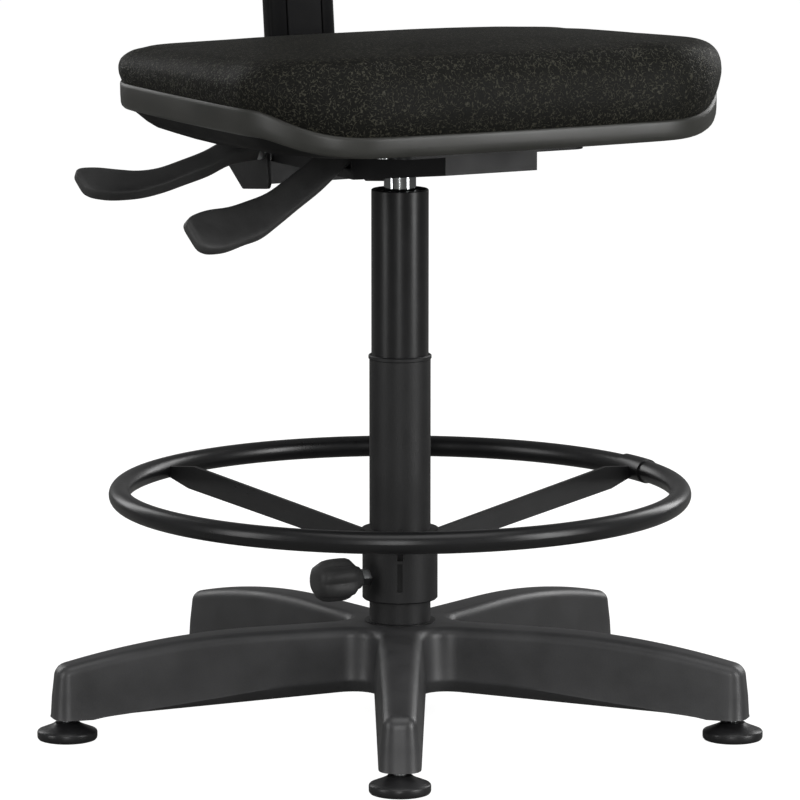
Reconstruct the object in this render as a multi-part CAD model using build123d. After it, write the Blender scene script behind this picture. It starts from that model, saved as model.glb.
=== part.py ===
from build123d import *
import os
from math import cos, degrees, radians, sin

# Drafting chair: five-leg star on glides, extender and gas column, sliding foot
# ring, two-lever mechanism, upholstered seat and a height-adjustable backrest.
# Frame: origin on the floor under the column axis, +Z up, the sitter faces -Y,
# so the sitter's right is -X. All lengths are millimetres, angles degrees.

os.makedirs("parts", exist_ok=True)

# ---- stance ---------------------------------------------------------------
base_turn = -28.0  # the star and foot ring stand turned this far from the seat
leg_count = 5

# ---- fits -----------------------------------------------------------------
press_gap = 0.02  # pieces driven or tapered together
running_gap = 0.06  # shafts and sleeves that turn or slide
soft_gap = 0.4  # foam and covers to their neighbours
loose_gap = 0.5  # bolts in clearance holes

# ---- star base ------------------------------------------------------------
glide_circle = 302.0
leg_end = 316.0
leg_top = 86.0
leg_tip_top = 63.0
leg_flat = 130.0  # radius where the top starts to fall away
leg_root_under = 31.0
leg_under_end = 21.0
leg_tip_under = 18.5
leg_root_width = 48.0
leg_tip_width = 36.0
leg_draft = 3.0
leg_wall = 4.0
leg_edge_round = 7.0
tip_block = 34.0  # the lowered block at the tip that holds the glide
hub_wall = 12.0
hub_under = 28.0
rib_radii = (95.0, 145.0, 195.0, 245.0)
rib_thick = 3.0
boss_radius = 10.5

# ---- glides ---------------------------------------------------------------
pad_radius = 26.0
pad_rim_height = 8.0
pad_height = 15.5
pad_neck_radius = 10.0
pad_foot_radius = 24.5
stem_radius = 5.5
stem_neck_radius = 4.0
stem_height = 44.0
stem_seat = 4.0  # floor of the stem's hole above the ground

# ---- hub sleeve and extender ----------------------------------------------
sleeve_wall = 4.2
sleeve_under = 30.0
extender_socket_wall = 1.8
extender_top = 322.0
extender_lip_out = 0.8
extender_lip = 4.0
extender_wall = 2.2
taper_fall = 1.6  # radius lost over a taper's length

# ---- gas column -----------------------------------------------------------
column_radius = 25.0
column_top = 467.0
column_foot = 206.0
column_taper = 52.0
column_wall = 1.6
column_floor = 3.0
rod_radius = 5.0
rod_hole_radius = 6.5
lift_stroke = 125.0
bush_length = 70.0
bush_sink = 3.0
ball_radius = 1.5
ball_circle = 9.0
ball_count = 10
washer_radius = 13.0
washer_thick = 1.5
shoulder_height = 2.0
buffer_height = 7.0
buffer_radius = 11.5
cylinder_radius = 14.0
cylinder_wall = 1.5
rod_guide_height = 12.0
piston_height = 10.0
valve_height = 14.0
valve_pin_radius = 2.4
valve_pin_rise = 3.6

# ---- mechanism ------------------------------------------------------------
pan_under = 480.0
pan_height = 34.0
pan_half_width = 56.0
pan_sheet = 2.5
pan_nose_half_width = 44.0
pan_front = -164.0
pan_floor_back = 96.0
pan_back = 158.0
pan_nose_rise = 18.0
pan_nose_length = 144.0
pan_heel = 16.0
seat_plate_half_width = 92.0
seat_plate_front = -168.0
seat_plate_back = 94.0
seat_plate_thick = 2.5
screw_span_x = 160.0
screw_span_y = 200.0
screw_radius = 3.0
screw_head_radius = 5.5
screw_head_height = 4.0
socket_wall = 4.0
pivot_y = 144.0
pivot_z = 495.0
pivot_radius = 6.0

# ---- levers ---------------------------------------------------------------
lift_pivot_x = -46.0
lift_swing = 4.0
lift_bar_width = 14.0
lift_bar_thick = 4.0
lift_splay = 20.0
lift_reach = 180.0
lift_fall = 31.0  # the lift arm slopes down this much more than the recline arm
recline_cross_x = -73.0
recline_reach = 167.0
cross_pin_radius = 3.0
arm_dip = 0.16  # depth of the arms' bend as a share of their reach
arm_tilt = 25.0  # the grips' broad faces lean towards the front
arm_height = 17.0
arm_width = 18.0
grip_height = 13.0
grip_width = 31.0
cam_bridge = 22.0

# ---- back bracket and upright ----------------------------------------------
cheek_inner_x = 60.0
cheek_sheet = 3.0
cheek_front = 132.0
cheek_back = 216.0
cheek_under = 455.0
cheek_top = 507.0
web_y = 176.0
upright_lean = 6.0
bar_width = 40.0
bar_thick = 6.0
bar_foot = 459.0
bar_top = 930.0
cover_width = 58.0
cover_front_depth = 13.0
cover_rear_depth = 11.0
cover_wall = 2.5
cover_foot = 516.0
cover_top = 775.0
notch_count = 8
notch_pitch = 10.0
back_travel = 70.0

# ---- seat -----------------------------------------------------------------
seat_width = 455.0
seat_depth = 392.0
seat_centre_y = -31.0
seat_corner = 84.0
seat_bow = 7.0
shell_wall = 3.0
shell_floor = 3.0
band_under = 523.0
band_top = 547.0
dish_under = 499.0
dish_rim_inset = 28.0
dish_foot_inset = 98.0
dish_corner = 14.0
board_thick = 12.0
board_inset = 6.0
cushion_top = 602.0
cushion_round = 20.0
nut_barrel_radius = 4.2
nut_flange_radius = 9.5
nut_flange = 1.2

# ---- backrest -------------------------------------------------------------
back_width = 430.0
back_height = 372.0
back_bottom = 742.0
back_corner = 92.0
back_curve = 650.0  # radius of the back's hollow, in plan
back_board_thick = 10.0
back_cushion_thick = 50.0
back_shell_depth = 22.0
back_shell_wall = 3.0
hump_width = 94.0
hump_height = 196.0
sleeve_width = 60.0
sleeve_height = 96.0
sleeve_start = 786.0

# ---- foot ring ------------------------------------------------------------
ring_radius = 245.0
ring_tube_radius = 9.5
ring_tube_wall = 1.5
ring_height = 200.0
collar_under = 106.0
collar_height = 60.0
liner_wall = 3.08
collar_wall = 3.0
liner_flange = 2.5
liner_flange_out = 0.4
spoke_thick = 4.5
spoke_height = 19.0
spoke_fall = 42.0
joint_sleeve_wall = 1.4
joint_sleeve_length = 36.0
collar_slot_width = 4.5
collar_slot_under = 117.0
collar_slot_top = 142.0
knob_turn = -60.0
knob_z = 128.0
knob_radius = 20.0
knob_length = 44.0
knob_lobes = 6
stud_radius = 4.0
nut_flats = 13.0
nut_height = 7.0


# ---- radii that follow from the column and cylinder outwards ---------------
extender_radius = column_radius + extender_socket_wall
extender_lip_radius = extender_radius + extender_lip_out
sleeve_radius = extender_radius + sleeve_wall
hub_radius = sleeve_radius + hub_wall
socket_radius = cylinder_radius + socket_wall
collar_bore = extender_radius + running_gap + liner_wall + running_gap
collar_radius = collar_bore + collar_wall
liner_flange_radius = collar_radius + liner_flange_out


def save(name, *solids):
    """Write one named piece, or one group of identical pieces."""
    shape = solids[0] if len(solids) == 1 else Compound(children=list(solids))
    export_step(shape, f"parts/{name}.step")


def turned(points):
    """A solid of revolution about Z from (radius, height) points."""
    return revolve(Plane.XZ * make_face(Polyline(*points, close=True)), Axis.Z)


def tube(outer, inner, low, high):
    return turned([(inner, low), (outer, low), (outer, high), (inner, high)])


def rod_z(radius, low, high):
    return Pos(0, 0, low) * Cylinder(radius, high - low, align=(Align.CENTER, Align.CENTER, Align.MIN))


def rod_x(radius, low, high, y, z):
    return Pos(low, y, z) * Rot(0, 90, 0) * rod_z(radius, 0, high - low)


def rod_y(radius, low, high, x, z):
    return Pos(x, low, z) * Rot(-90, 0, 0) * rod_z(radius, 0, high - low)


def block(x, y, z):
    """A box from its three (low, high) pairs."""
    size = (x[1] - x[0], y[1] - y[0], z[1] - z[0])
    return Pos(x[0], y[0], z[0]) * Box(*size, align=(Align.MIN,) * 3)


def about_z(shape, angle):
    return shape.rotate(Axis.Z, angle)


def one(shape):
    """The single solid of a boolean's result."""
    return shape.solids()[0]


def around(shape, count, start=0.0):
    return [about_z(shape, start + 360.0 / count * i) for i in range(count)]


# ---------------------------------------------------------------------------
# Star base: hollow moulded legs on a hub
# ---------------------------------------------------------------------------
taper_low_radius = extender_radius - taper_fall


def leg_body(inset, underside):
    """One leg along +X, drawn in by an inset; underside drops the floor for a cavity."""
    end = leg_end - inset
    top = leg_top - inset
    tip_top = leg_tip_top - inset
    low = -underside
    block_start = leg_end - tip_block
    middle = (leg_flat + end) / 2
    share = (middle - leg_flat) / (end - leg_flat)
    middle_top = top - (top - tip_top) * share**2
    outline = [
        Polyline(
            (end - leg_edge_round * 0.5, tip_top),
            (end, leg_tip_under + low),
            (block_start, leg_tip_under + low),
            (block_start - 12.0, leg_under_end + low),
            (0, leg_root_under + low),
            (0, top),
            (leg_flat, top),
        ),
        ThreePointArc((leg_flat, top), (middle, middle_top), (end - leg_edge_round * 0.5, tip_top)),
    ]
    side = extrude(Plane.XZ * make_face(outline), leg_root_width, both=True)
    root = leg_root_width / 2 - inset
    tip = leg_tip_width / 2 - inset
    plan = Polyline((0, -root), (leg_end, -tip), (leg_end, tip), (0, root), close=True)
    height = leg_top + 10.0
    wedge = extrude(make_face(plan), height, taper=leg_draft)
    return one(side & wedge)


def top_edges(leg):
    """The long top edges and the tip's upright and top edges."""
    picked = []
    for edge in leg.edges():
        middle = edge.center()
        across_the_back = abs(middle.Y) < 1.0 and middle.X < leg_end - 40.0
        if middle.Z > leg_root_under + 5.0 and middle.X > 5.0 and not across_the_back:
            picked.append(edge)
    return picked


def star_leg():
    leg = leg_body(0.0, 0.0)
    leg = fillet(top_edges(leg), leg_edge_round)
    cavity = leg_body(leg_wall, 30.0)
    cavity -= block((-1, hub_radius - 1), (-60, 60), (-60, 120))
    boss = Pos(glide_circle, 0, 0) * rod_z(boss_radius, 0, leg_top)
    cavity -= boss
    for radius in rib_radii:
        rib_low = leg_root_under + 6.0
        cavity -= block((radius, radius + rib_thick), (-60, 60), (rib_low, leg_top))
    leg -= cavity
    leg -= Pos(glide_circle, 0, 0) * rod_z(stem_radius + press_gap, 0, stem_height + 1.0)
    return leg


def star_base():
    hub = rod_z(hub_radius, hub_under, leg_top)
    hub = chamfer(hub.edges().group_by(Axis.Z)[-1], 2.0)
    star = hub
    leg = star_leg()
    for angle in range(leg_count):
        star += about_z(leg, -90.0 + 360.0 / leg_count * angle)
    star -= rod_z(sleeve_radius + press_gap, 0, leg_top + 5.0)
    return one(star)


save("star_base", about_z(star_base(), base_turn))

# ---- glides: a nylon pad moulded to the foot of a steel stem ----------------
glide_pad = turned(
    [
        (0, 0),
        (pad_foot_radius, 0),
        (pad_radius, 1.5),
        (pad_radius, pad_rim_height),
        (pad_neck_radius, pad_height),
        (stem_neck_radius + press_gap, pad_height),
        (stem_neck_radius + press_gap, stem_seat),
        (0, stem_seat),
    ]
)
glide_stem = turned(
    [
        (0, stem_seat),
        (stem_neck_radius, stem_seat),
        (stem_neck_radius, pad_height),
        (stem_radius, pad_height + 0.5),
        (stem_radius, stem_height - 1.0),
        (stem_radius - 1.0, stem_height),
        (0, stem_height),
    ]
)
glide_place = Pos(0, -glide_circle, 0)
save("glide_pads", *around(glide_place * glide_pad, leg_count, base_turn))
save("glide_stems", *around(glide_place * glide_stem, leg_count, base_turn))

# ---- steel taper sleeve moulded into the hub --------------------------------
hub_sleeve = turned(
    [
        (taper_low_radius + press_gap, sleeve_under),
        (sleeve_radius, sleeve_under),
        (sleeve_radius, leg_top + 1.0),
        (extender_radius + press_gap, leg_top + 1.0),
    ]
)
save("hub_sleeve", hub_sleeve)

# ---------------------------------------------------------------------------
# Extender tube and gas column
# ---------------------------------------------------------------------------
column_low_radius = column_radius - taper_fall
column_taper_top = column_foot + column_taper
extender_bore = column_low_radius - 0.6
extender_tube = turned(
    [
        (taper_low_radius - extender_wall, sleeve_under),
        (taper_low_radius, sleeve_under),
        (extender_radius, leg_top + 1.0),
        (extender_radius, extender_top - extender_lip),
        (extender_lip_radius, extender_top - extender_lip + 0.8),
        (extender_lip_radius, extender_top - 0.8),
        (extender_lip_radius - 0.8, extender_top),
        (column_radius + press_gap, extender_top),
        (column_radius + press_gap, column_taper_top),
        (column_low_radius + press_gap, column_foot),
        (extender_bore, column_foot),
        (extender_bore, leg_top + 1.0),
    ]
)
save("extender_tube", extender_tube)

column_bore = column_radius - column_wall
column_floor_top = column_foot + column_floor
column_tube = turned(
    [
        (rod_hole_radius, column_foot),
        (column_low_radius, column_foot),
        (column_radius, column_taper_top),
        (column_radius, column_top - 0.8),
        (column_radius - 0.8, column_top),
        (column_bore, column_top),
        (column_bore, column_taper_top),
        (column_low_radius - column_wall, column_floor_top),
        (rod_hole_radius, column_floor_top),
    ]
)
save("column_tube", column_tube)

bush_top = column_top - bush_sink
guide_bush = turned(
    [
        (cylinder_radius + running_gap, bush_top - bush_length),
        (column_bore - press_gap, bush_top - bush_length),
        (column_bore - press_gap, bush_top),
        (cylinder_radius + 4.0, bush_top),
        (cylinder_radius + 3.0, bush_top + 1.5),
        (cylinder_radius + running_gap, bush_top + 1.5),
    ]
)
save("guide_bush", guide_bush)

# ---- thrust bearing under the rod's shoulder --------------------------------
ball_gap = 0.03
race_low = column_floor_top + washer_thick
race_high = race_low + 2 * (ball_radius + ball_gap)
shoulder_under = race_high + washer_thick
save("bearing_lower_washer", tube(washer_radius, rod_hole_radius, column_floor_top, race_low))
ball = Pos(ball_circle, 0, race_low + ball_radius + ball_gap) * Sphere(ball_radius)
save("bearing_balls", *around(ball, ball_count))
cage = tube(ball_circle + 3.0, ball_circle - 3.0, race_low + 0.8, race_high - 0.8)
for pocket in around(Pos(ball_circle, 0, 0) * rod_z(ball_radius + 0.1, race_low, race_high), ball_count):
    cage -= pocket
save("bearing_cage", one(cage))
save(
    "bearing_upper_washer",
    tube(washer_radius, rod_radius + running_gap, race_high, shoulder_under),
)

# ---- piston rod, held down by a clip under the column's floor ----------------
shoulder_top = shoulder_under + shoulder_height
buffer_top = shoulder_top + buffer_height
cylinder_foot = buffer_top + soft_gap
piston_under = cylinder_foot + lift_stroke + rod_guide_height + 1.5
piston_top = piston_under + piston_height
piston_bore = 4.0
clip_top = column_foot - 0.1
clip_thick = 1.5
rod_foot = clip_top - clip_thick - 2.0
clip_groove = rod_radius - 1.0
gas_rod = turned(
    [
        (0, rod_foot),
        (rod_radius, rod_foot),
        (rod_radius, clip_top - clip_thick),
        (clip_groove, clip_top - clip_thick),
        (clip_groove, clip_top),
        (rod_radius, clip_top),
        (rod_radius, shoulder_under),
        (washer_radius - 5.0, shoulder_under),
        (washer_radius - 5.0, shoulder_top),
        (rod_radius, shoulder_top),
        (rod_radius, piston_under),
        (piston_bore, piston_under),
        (piston_bore, piston_top + 2.0),
        (0, piston_top + 2.0),
    ]
)
save("gas_rod", gas_rod)
rod_clip = tube(washer_radius - 4.0, clip_groove + press_gap, clip_top - clip_thick, clip_top)
rod_clip -= block((0, 20), (-clip_groove, clip_groove), (clip_top - 3.0, clip_top + 1.0))
save("rod_clip", one(rod_clip))
save("lift_buffer", tube(buffer_radius, rod_radius + press_gap, shoulder_top, buffer_top))
cylinder_bore = cylinder_radius - cylinder_wall
save(
    "gas_piston",
    tube(cylinder_bore - running_gap, piston_bore + press_gap, piston_under, piston_top),
)

# ---- pressure cylinder with its guide, valve and release pin ----------------
pan_floor_top = pan_under + pan_sheet
pan_top = pan_under + pan_height
socket_top = pan_top - 12.0
cylinder_taper_fall = 0.8
gas_cylinder = turned(
    [
        (cylinder_bore, cylinder_foot),
        (cylinder_radius - 0.5, cylinder_foot),
        (cylinder_radius, cylinder_foot + 0.5),
        (cylinder_radius, pan_under),
        (cylinder_radius - cylinder_taper_fall, socket_top),
        (cylinder_bore, socket_top),
    ]
)
save("gas_cylinder", gas_cylinder)
save(
    "rod_guide",
    tube(cylinder_bore - press_gap, rod_radius + running_gap, cylinder_foot, cylinder_foot + rod_guide_height),
)
valve_under = socket_top - valve_height
valve_body = tube(cylinder_bore - press_gap, valve_pin_radius + running_gap, valve_under, socket_top)
save("valve_body", valve_body)
pin_top = socket_top + valve_pin_rise
release_pin = rod_z(valve_pin_radius, valve_under + 2.0, pin_top)
save("release_pin", release_pin)

# ---------------------------------------------------------------------------
# Mechanism: pressed pan, seat plate, taper socket
# ---------------------------------------------------------------------------
pan_inner = pan_half_width - pan_sheet


def pan_plan(inset):
    """Prism over the pan's plan: straight sides that draw in towards the nose."""
    wide = pan_half_width - inset
    nose = pan_nose_half_width - inset
    front = pan_front + inset
    shoulder = pan_front + pan_nose_length
    back = pan_back + 10.0
    right = [(nose, front), (wide, shoulder), (wide, back)]
    left = [(-x, y) for x, y in reversed(right)]
    return extrude(make_face(Polyline(*right, *left, close=True)), pan_top + 10.0)


def pan_profile(lift, back):
    """Side outline of the pan, (y, z), with its nose rising at the front."""
    return Polyline(
        (pan_front + lift, pan_top),
        (pan_front + lift, pan_under + pan_nose_rise + lift),
        (pan_front + pan_nose_length, pan_under + lift),
        (back, pan_under + lift),
        (back, pan_top),
        close=True,
    )


def mechanism_pan():
    outer_face = Plane.YZ * make_face(pan_profile(0.0, pan_back))
    inner_face = Plane.YZ * make_face(pan_profile(pan_sheet, pan_back + 5.0))
    pan = extrude(outer_face, pan_half_width, both=True) & pan_plan(0.0)
    pan -= extrude(inner_face, pan_inner, both=True) & pan_plan(pan_sheet)
    pan -= block((-pan_inner, pan_inner), (pan_floor_back, pan_back + 1), (pan_under - 1, pan_top + 1))
    low = pan_under - 1.0
    wedge = make_face(
        Polyline((pan_back - pan_heel, low), (pan_back + 1, low), (pan_back + 1, pan_under + pan_heel), close=True)
    )
    pan -= extrude(Plane.YZ * wedge, pan_half_width + 1.0, both=True)
    pan -= rod_z(socket_radius + press_gap, pan_under - 1, pan_top)
    pan -= rod_x(pivot_radius + running_gap, -70, 70, pivot_y, pivot_z)
    lever_gate = block((-pan_half_width - 1, -pan_inner + 1), (-16, 16), (pan_floor_top + 6.0, pan_top - 1.0))
    pan -= lever_gate
    return one(pan)


save("mechanism_pan", mechanism_pan())

screw_y = (-screw_span_y / 2 - 20.0, screw_span_y / 2 - 20.0)
screw_places = [(x, y) for x in (-screw_span_x / 2, screw_span_x / 2) for y in screw_y]
plate_top = pan_top + seat_plate_thick


def seat_plate():
    middle = (seat_plate_front + seat_plate_back) / 2
    length = seat_plate_back - seat_plate_front
    outline = RectangleRounded(2 * seat_plate_half_width, length, 14.0)
    plate = Pos(0, middle, pan_top) * extrude(outline, seat_plate_thick)
    for x, y in screw_places:
        plate -= Pos(x, y, 0) * rod_z(screw_radius + loose_gap, pan_top - 1, plate_top + 1)
    plate -= Pos(0, 10, 0) * rod_z(24.0, pan_top - 1, plate_top + 1)
    return one(plate)


save("seat_plate", seat_plate())

taper_socket = turned(
    [
        (cylinder_radius + press_gap, pan_under + 0.5),
        (socket_radius, pan_under + 0.5),
        (socket_radius, socket_top - 1.0),
        (cylinder_radius - cylinder_taper_fall * 0.95 + press_gap, socket_top - 1.0),
    ]
)
save("taper_socket", taper_socket)

# ---- cross-beam that stiffens the pan behind the socket ---------------------
save("pan_brace", block((-pan_inner, pan_inner), (60, 63), (pan_floor_top, pan_top - 2)))

# ---------------------------------------------------------------------------
# Lift lever: a bar rocking on a pin, its inner end over the release pin
# ---------------------------------------------------------------------------
bar_under = pin_top + 0.3
lift_pivot_z = bar_under + lift_bar_thick / 2
boss_width = lift_bar_width
ear_gap = 0.4
ear_thick = 2.5
ear_radius = 6.0


def lever_ears():
    """The two upright ears on the pan's floor that carry the lift lever's pin."""
    ears = []
    for side in (-1, 1):
        near = boss_width / 2 + ear_gap
        low, high = sorted((side * near, side * (near + ear_thick)))
        ear = block((lift_pivot_x - 6, lift_pivot_x + 6), (low, high), (pan_floor_top, lift_pivot_z))
        ear += rod_y(ear_radius, low, high, lift_pivot_x, lift_pivot_z)
        ear -= rod_y(cross_pin_radius + press_gap, low - 1, high + 1, lift_pivot_x, lift_pivot_z)
        ears.append(one(ear))
    return ears


save("lever_ears", *lever_ears())
pin_half = boss_width / 2 + ear_gap + ear_thick + 1.5
save("lift_lever_pin", rod_y(cross_pin_radius, -pin_half, pin_half, lift_pivot_x, lift_pivot_z))

lift_root_x = -pan_half_width - 6.0
lift_root_z = lift_pivot_z - 8.0


def lift_bar():
    """Flat bar: level over the pin, then bent down through the pan's gate."""
    half = lift_bar_thick / 2
    path = Polyline(
        (5.0, lift_pivot_z - half),
        (5.0, lift_pivot_z + half),
        (lift_pivot_x - 4.0, lift_pivot_z + half),
        (lift_root_x - 24.0, lift_root_z - 10.0 + half),
        (lift_root_x - 24.0, lift_root_z - 10.0 - half),
        (lift_pivot_x - 4.0, lift_pivot_z - half),
        close=True,
    )
    bar = extrude(Plane.XZ * make_face(path), lift_bar_width / 2, both=True)
    bar += rod_y(5.5, -boss_width / 2, boss_width / 2, lift_pivot_x, lift_pivot_z)
    bar -= rod_y(cross_pin_radius + running_gap, -20, 20, lift_pivot_x, lift_pivot_z)
    return one(bar)


save("lift_bar", lift_bar())


def paddle_arm(reach, fall):
    """A lever arm along -X from the origin: it dips, spreads into a paddle and turns up a little."""
    stations = (
        (0.0, 0.0, arm_height, arm_width),
        (0.31, 0.67, arm_height * 0.94, arm_width),
        (0.58, 1.0, arm_height * 0.85, arm_width * 1.25),
        (0.83, 0.91, grip_height, grip_width),
        (0.95, 0.82, grip_height * 0.85, grip_width * 0.86),
        (1.0, 0.78, grip_height * 0.5, grip_width * 0.55),
    )
    across = (0, cos(radians(arm_tilt)), sin(radians(arm_tilt)))
    faces = []
    for along, down, height, width in stations:
        section = RectangleRounded(width, height, min(height, width) * 0.42)
        place = (-reach * along, 0, -reach * arm_dip * down - fall * along)
        plane = Plane(origin=place, x_dir=across, z_dir=(-1, 0, 0))
        faces.append(plane * section)
    return loft(faces)


lift_arm = about_z(paddle_arm(lift_reach, lift_fall), lift_splay)
lift_arm = Pos(lift_root_x, 0, lift_root_z) * lift_arm
lift_arm -= block((lift_root_x, 0), (-60, 60), (300, 600))
lift_arm -= lift_bar()
save("lift_lever", one(lift_arm))

# ---------------------------------------------------------------------------
# Recline clamp: rod through the pan and bracket, squeezed by a cam lever
# ---------------------------------------------------------------------------
cheek_outer_x = cheek_inner_x + cheek_sheet
clamp_washer_thick = 2.0
clamp_gap = 0.15
rod_head = 6.0


def clamp_rod():
    rod = rod_x(pivot_radius, recline_cross_x, cheek_outer_x + 2.5, pivot_y, pivot_z)
    rod += Pos(recline_cross_x, pivot_y, pivot_z) * Sphere(pivot_radius)
    head_start = cheek_outer_x + clamp_gap
    head = Pos(head_start, pivot_y, pivot_z) * Rot(0, 90, 0) * extrude(RegularPolygon(10.0, 6), rod_head)
    rod += head
    rod -= rod_y(cross_pin_radius + press_gap, pivot_y - 20, pivot_y + 20, recline_cross_x, pivot_z)
    return one(rod)


save("clamp_rod", clamp_rod())
washer_x = -cheek_outer_x - clamp_gap
clamp_washer = rod_x(14.0, washer_x - clamp_washer_thick, washer_x, pivot_y, pivot_z)
clamp_washer -= rod_x(pivot_radius + running_gap, -90, 0, pivot_y, pivot_z)
save("clamp_washer", one(clamp_washer))

fork_inner = pivot_radius + 0.4
fork_outer = 11.5
cam_radius = washer_x - clamp_washer_thick - recline_cross_x - clamp_gap
save(
    "recline_pin",
    rod_y(cross_pin_radius, pivot_y - fork_outer - 1, pivot_y + fork_outer + 1, recline_cross_x, pivot_z),
)


def recline_cam():
    """Fork with two cam discs on the cross pin, and a tongue inside the plastic arm."""
    parts = None
    for side in (-1, 1):
        low, high = sorted((pivot_y + side * fork_inner, pivot_y + side * fork_outer))
        disc = rod_y(cam_radius, low, high, recline_cross_x, pivot_z)
        ear = block((recline_cross_x - 12, recline_cross_x), (low, high), (pivot_z - 5, pivot_z + 5))
        disc += ear
        parts = disc if parts is None else parts + disc
    bridge = block(
        (recline_cross_x - cam_bridge, recline_cross_x - 10),
        (pivot_y - fork_outer, pivot_y + fork_outer),
        (pivot_z - 5, pivot_z + 5),
    )
    parts += bridge
    tongue = block(
        (recline_cross_x - cam_bridge - 18, recline_cross_x - cam_bridge),
        (pivot_y - 6, pivot_y + 6),
        (pivot_z - 5, pivot_z + 1),
    )
    parts += tongue
    parts -= rod_y(cross_pin_radius + running_gap, pivot_y - 20, pivot_y + 20, recline_cross_x, pivot_z)
    return one(parts)


save("recline_cam", recline_cam())
recline_root_x = recline_cross_x - cam_bridge
recline_arm = paddle_arm(recline_reach - cam_bridge, 0.0)
recline_arm = Pos(recline_root_x, pivot_y, pivot_z - 6.0) * recline_arm
recline_arm -= recline_cam()
save("recline_lever", one(recline_arm))

# ---- friction discs between the pan's walls and the bracket's cheeks --------
friction_discs = []
disc_room = cheek_inner_x - pan_half_width
disc_thick = disc_room / 2 - 0.1
for side in (-1, 1):
    for layer in range(2):
        start = pan_half_width + 0.05 + layer * disc_room / 2
        low, high = sorted((side * start, side * (start + disc_thick)))
        disc = rod_x(16.0, low, high, pivot_y, pivot_z)
        disc -= rod_x(pivot_radius + running_gap, low - 1, high + 1, pivot_y, pivot_z)
        friction_discs.append(one(disc))
save("friction_discs", *friction_discs)

# ---- torsion springs that bring the back forward ----------------------------
spring_wire = 3.0
spring_turns = 7
spring_pitch = 3.6
spring_room = 0.3  # between the coils and the clamp rod


def torsion_spring(start_x):
    coil_radius = pivot_radius + spring_wire / 2 + spring_room
    path = Helix(spring_pitch, spring_pitch * spring_turns, coil_radius)
    wire = Plane(origin=path @ 0, z_dir=path % 0) * Circle(spring_wire / 2)
    coil = sweep(wire, path, is_frenet=True)
    return Pos(start_x, pivot_y, pivot_z) * Rot(0, 90, 0) * coil


spring_length = spring_pitch * spring_turns
save(
    "back_springs",
    one(torsion_spring(-pan_inner + 4.0)),
    one(torsion_spring(pan_inner - 4.0 - spring_length)),
)

# ---------------------------------------------------------------------------
# Back bracket and upright, built straight and then leaned back on the pivot
# ---------------------------------------------------------------------------
pivot_axis = Axis((0, pivot_y, pivot_z), (1, 0, 0))


def leaned(shape):
    return shape.rotate(pivot_axis, -upright_lean)


def back_bracket():
    """U-shaped bracket: two cheeks on the pivot, joined by a web behind."""
    outline = Polyline(
        (cheek_front, cheek_under),
        (cheek_front, pivot_z + 4),
        (cheek_front + 10, cheek_top),
        (cheek_back - 14, cheek_top),
        (cheek_back, cheek_top - 14),
        (cheek_back, cheek_under + 26),
        (cheek_back - 32, cheek_under),
        close=True,
    )
    face = fillet(make_face(outline).vertices(), 6.0)
    both = extrude(Plane.YZ * face, cheek_outer_x, both=True)
    both -= extrude(Plane.YZ * face, cheek_inner_x, both=True)
    bracket = both
    web = block((-cheek_inner_x, cheek_inner_x), (web_y, web_y + cheek_sheet), (cheek_under + 3, cheek_top - 12))
    bracket += web
    bracket -= rod_x(pivot_radius + running_gap, -90, 90, pivot_y, pivot_z)
    return one(bracket)


save("back_bracket", leaned(back_bracket()))

bar_front = web_y + cheek_sheet


def upright_bar():
    bar = block((-bar_width / 2, bar_width / 2), (bar_front, bar_front + bar_thick), (bar_foot, bar_top))
    upper_edges = bar.edges().filter_by(Axis.Y).group_by(Axis.Z)[-1]
    bar = fillet(upper_edges, 8.0)
    first_notch = sleeve_start + 8.0
    for step in range(notch_count):
        z = first_notch + step * notch_pitch
        bar -= rod_y(2.2, bar_front - 1, bar_front + bar_thick + 1, 0, z)
    return one(bar)


def cover_half(front):
    """Half of the upright's moulded cover, closed at the top and split on the bar."""
    middle = bar_front + bar_thick / 2
    depth = cover_front_depth if front else cover_rear_depth
    low, high = (middle - depth, middle) if front else (middle, middle + depth)
    shell = block((-cover_width / 2, cover_width / 2), (low, high), (cover_foot, cover_top))
    outer = shell.edges().filter_by(Axis.Z).group_by(Axis.Y)[0 if front else -1]
    shell = fillet(outer, 8.0)
    half_bore = cover_width / 2 - cover_wall
    if front:
        shell -= block((-half_bore, half_bore), (low + cover_wall, high), (cover_foot - 1, cover_top - cover_wall))
    else:
        shell -= block((-half_bore, half_bore), (low, high - cover_wall), (cover_foot - 1, cover_top - cover_wall))
    half_bar = bar_width / 2 + press_gap
    shell -= block(
        (-half_bar, half_bar),
        (bar_front - press_gap, bar_front + bar_thick + press_gap),
        (cover_foot - 1, cover_top + 1),
    )
    return shell


def cover_screw(z):
    """Screw from the rear half, through the bar, into the front half's post."""
    middle = bar_front + bar_thick / 2
    rear = middle + cover_rear_depth
    front = middle - cover_front_depth
    shank = rod_y(1.8, front + cover_wall + 1.0, rear - 1.0, 0, z)
    head = rod_y(3.6, rear - cover_wall, rear - 0.6, 0, z)
    return shank + head


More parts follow.
